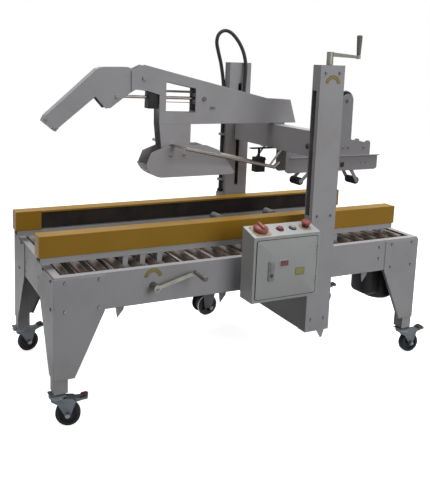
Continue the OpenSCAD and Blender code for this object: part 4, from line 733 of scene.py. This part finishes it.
PEDAL_OUT, PEDAL_UP, PEDAL_SLOPE, NUT_OUT = 101.0, 119.5, 0.22, 24.4
axle_nut = hex_bolt(10.0)
ribs = [raised(aimed(soft_block((32, 3.2, 1.6), 1.4, 0.6), (0, y, 0)), 2.6) for y in (-8, -3, 2, 7)]
pad = joined([soft_block((38, 25, 3), 5, 1.2), *ribs])
race = turned([(23, -4), (27, -4), (31, -1.5), (32, 2), (30.5, 6), (26, 8.4), (23, 8.4), (23, -4)], 36)
races = []
# Casters 2 and 4 get the olive-grey tread, which paints the red pedal rubber in shade
for k, tread in ((1, "dark_red_tread"), (2, "red_tread_in_painted_shade"), (3, "dark_red_tread"), (4, "red_tread_in_painted_shade")):
    swivel, _ = pivot(f"caster_{k}_swivel")
    axle, across = pivot(f"wheel_{k}_roll")
    trail = (axle - swivel) * [1, 1, 0]
    trail /= np.linalg.norm(trail)
    nuts = [aimed(axle_nut, axle + side * NUT_OUT * across, side * across, 10 * k) for side in (-1, 1)]
    add_piece(f"caster_nuts_{k}", joined(nuts), finish["bolts"], f"caster_{k}")
    pad_at = swivel * [1, 1, 0] + PEDAL_OUT * trail + [0, 0, PEDAL_UP]
    slope = np.array([0, 0, 1.0]) - PEDAL_SLOPE * trail
    add_piece(f"pedal_tread_{k}", aimed(pad, pad_at, slope, 0, trail), finish[tread], f"caster_{k}")
    races.append(aimed(race, swivel + [0, 0, 0.5]))
add_piece("caster_swivel_races", joined(races), finish["race_zinc"], "frame")

# Kicker cylinder: guide block, tie-rod nuts and air fittings

barrel_at, _ = pivot("cylinder_tilt")
push = -np.array(joints["piston_stroke"]["axis"])
lift = np.cross(push, (0, 1, 0))
lift *= np.sign(lift[2])


def on_cylinder(along, across, up):
    """Point of the cylinder: along towards its rod end, across to the back and up, from its trunnion."""
    return barrel_at + along * push + np.array([0, across, 0]) + up * lift


lean = -math.degrees(math.atan2(push[2], -push[0]))
guide = aimed(soft_block((49, 75, 45.2), 3, 1.6), on_cylinder(238, 22.6, -11), FRONT, lean)
add_piece("rod_guide_cover", guide, finish["black_plastic"], "cylinder")
tie_nut = hex_bolt(4.6)
tie_nuts = [aimed(tie_nut, on_cylinder(-141, y, z), -push, 17 * z) for y in (-16, 16) for z in (-16, 16)]
add_piece("tie_rod_nuts", joined(tie_nuts), finish["bolts"], "cylinder")
fitting = turned([(0, -1), (6.5, -1), (6.5, 2.5), (5, 3.3), (5, 5), (6, 5.6), (6, 8.4), (4.8, 9.2), (0, 9.2)], 20)
fittings = [aimed(fitting, on_cylinder(x, 10, 21.5), lift) for x in (-128, -12)]
add_piece("air_fittings", joined(fittings), finish["black_plastic"], "cylinder")

# Tape core hubs: a pressed ring on each flange and a nut on the stub

hub_ring = turned([(46.5, 0), (49.6, 0), (49.6, 0.9), (48.2, 1.5), (46.5, 0.9), (46.5, 0)], 56)
stub_nut = hex_bolt(9.0)
cores = (("top", "top_head_frame", "head"), ("bottom", "bottom_head_frame", "frame"))
for core, _, _ in cores:
    stub, _ = pivot(core + "_core_turn")
    rings = [aimed(hub_ring, stub + [0, side * 30, 0], (0, side, 0)) for side in (-1, 1)]
    add_piece(core + "_core_rings", joined(rings), finish["race_steel"], core + "_core")
for core, holder, body in cores:
    stub, _ = pivot(core + "_core_turn")
    nut_at = (stub[0], box_mm(holder)[0][1], stub[2])
    add_piece(core + "_stub_nut", aimed(stub_nut, nut_at, FRONT), finish["bolts"], body)


# ---- room: pale floor, soft light and the camera ----

FLOOR_GLOW, FLOOR_BOUNCE = 0.8, "#4c4a47"
WORLD_LEVEL = 0.21


def looked_at(tree):
    """1 for rays from the camera, a mirror or glass, and 0 for those that carry light to the machine."""
    rays = put(tree, "LightPath").outputs
    seen = maths(tree, "MAXIMUM", rays["Is Camera Ray"], rays["Is Glossy Ray"])
    return maths(tree, "MAXIMUM", seen, rays["Is Transmission Ray"])


def pale_floor():
    """White studio floor: a disc of rings out to 40 m. The camera, mirrors and glass see it as white paper that
    keeps the shadow, and it throws a plain grey light back on the machine."""
    material, tree, shader, where = new_material("white_paper_floor")
    seen = looked_at(tree)
    paper = span(tree, noise(tree, where, 3.0, 4.0), 0.0, 1.0, 0.98, 1.0)
    tone = put(tree, "Mix", {0: 1.0, 6: mixed(tree, seen, FLOOR_BOUNCE, "#ffffff"), 7: paper},
               data_type="RGBA", blend_type="MULTIPLY").outputs[2]
    set_shader(tree, shader, {"Base Color": tone, "Roughness": 0.9, "Specular IOR Level": 0.0,
                              "Emission Color": (1, 1, 1, 1),
                              "Emission Strength": maths(tree, "MULTIPLY", seen, FLOOR_GLOW)})
    points, faces = turned([(r, 0.0) for r in (0.0, 0.5, 1.0, 2.0, 4.0, 9.0, 20.0, 40.0)], 48)
    mesh = bpy.data.meshes.new("studio_floor")
    mesh.from_pydata(points.tolist(), [], faces.tolist())
    mesh.materials.append(material)
    floor = bpy.data.objects.new("studio_floor", mesh)
    bpy.context.scene.collection.objects.link(floor)


def white_world():
    """A white room for the camera, mirrors and glass, and a weak even light for everything else."""
    world = bpy.data.worlds.new("soft_room")
    world.use_nodes = True
    tree = world.node_tree
    tree.nodes.clear()
    strength = span(tree, looked_at(tree), 0.0, 1.0, WORLD_LEVEL, 1.0)
    air = put(tree, "Background", {0: (1, 1, 1, 1), 1: strength})
    put(tree, "OutputWorld", {0: air.outputs[0]})
    bpy.context.scene.world = world


def soft_lamp(name, at, aim, size, power):
    """A square white studio lamp at a point in metres, aimed at another."""
    lamp = bpy.data.lights.new(name, "AREA")
    lamp.shape, lamp.size, lamp.energy = "SQUARE", size, power
    item = bpy.data.objects.new(name, lamp)
    item.location = at
    direction = Vector(np.array(aim, float) - np.array(at, float))
    item.rotation_euler = direction.to_track_quat("-Z", "Y").to_euler()
    bpy.context.scene.collection.objects.link(item)


pale_floor()
white_world()
soft_lamp("ceiling_softbox", at=(1.1, 0.2, 4.2), aim=(0.1, 0, 0.6), size=3.4, power=156)
soft_lamp("front_fill", at=(1.0, -4.4, 2.4), aim=(0.1, 0, 0.8), size=2.4, power=80)
soft_lamp("infeed_softbox", at=(-2.2, -0.2, 3.6), aim=(0.3, 0, 1.2), size=1.8, power=20)


def aim_camera(at, yaw, pitch, roll, lens, shift):
    """A camera at a point in metres, turned by yaw from +Y towards +X, down by pitch and about its own line of
    sight by roll, all in degrees."""
    yaw, pitch, roll = np.radians([yaw, pitch, roll])
    ahead = np.array([math.sin(yaw) * math.cos(pitch), math.cos(yaw) * math.cos(pitch), -math.sin(pitch)])
    right = np.array([math.cos(yaw), -math.sin(yaw), 0.0])
    up = np.cross(right, ahead)
    c, s = math.cos(roll), math.sin(roll)
    columns = np.stack([c * right + s * up, c * up - s * right, -ahead], 1)
    camera = bpy.data.objects.new("camera", bpy.data.cameras.new("camera"))
    pose = np.eye(4)
    pose[:3, :3], pose[:3, 3] = columns, at
    camera.matrix_world = Matrix(pose.tolist())
    camera.data.lens, camera.data.sensor_width = lens, 36.0
    camera.data.shift_x, camera.data.shift_y = shift
    bpy.context.scene.collection.objects.link(camera)
    bpy.context.scene.camera = camera


aim_camera(at=(-1.499, -2.5485, 1.378), yaw=25.37, pitch=8.58, roll=1.70, lens=47.07, shift=(0.078, -0.181))
bpy.context.scene.view_settings.view_transform = "Standard"
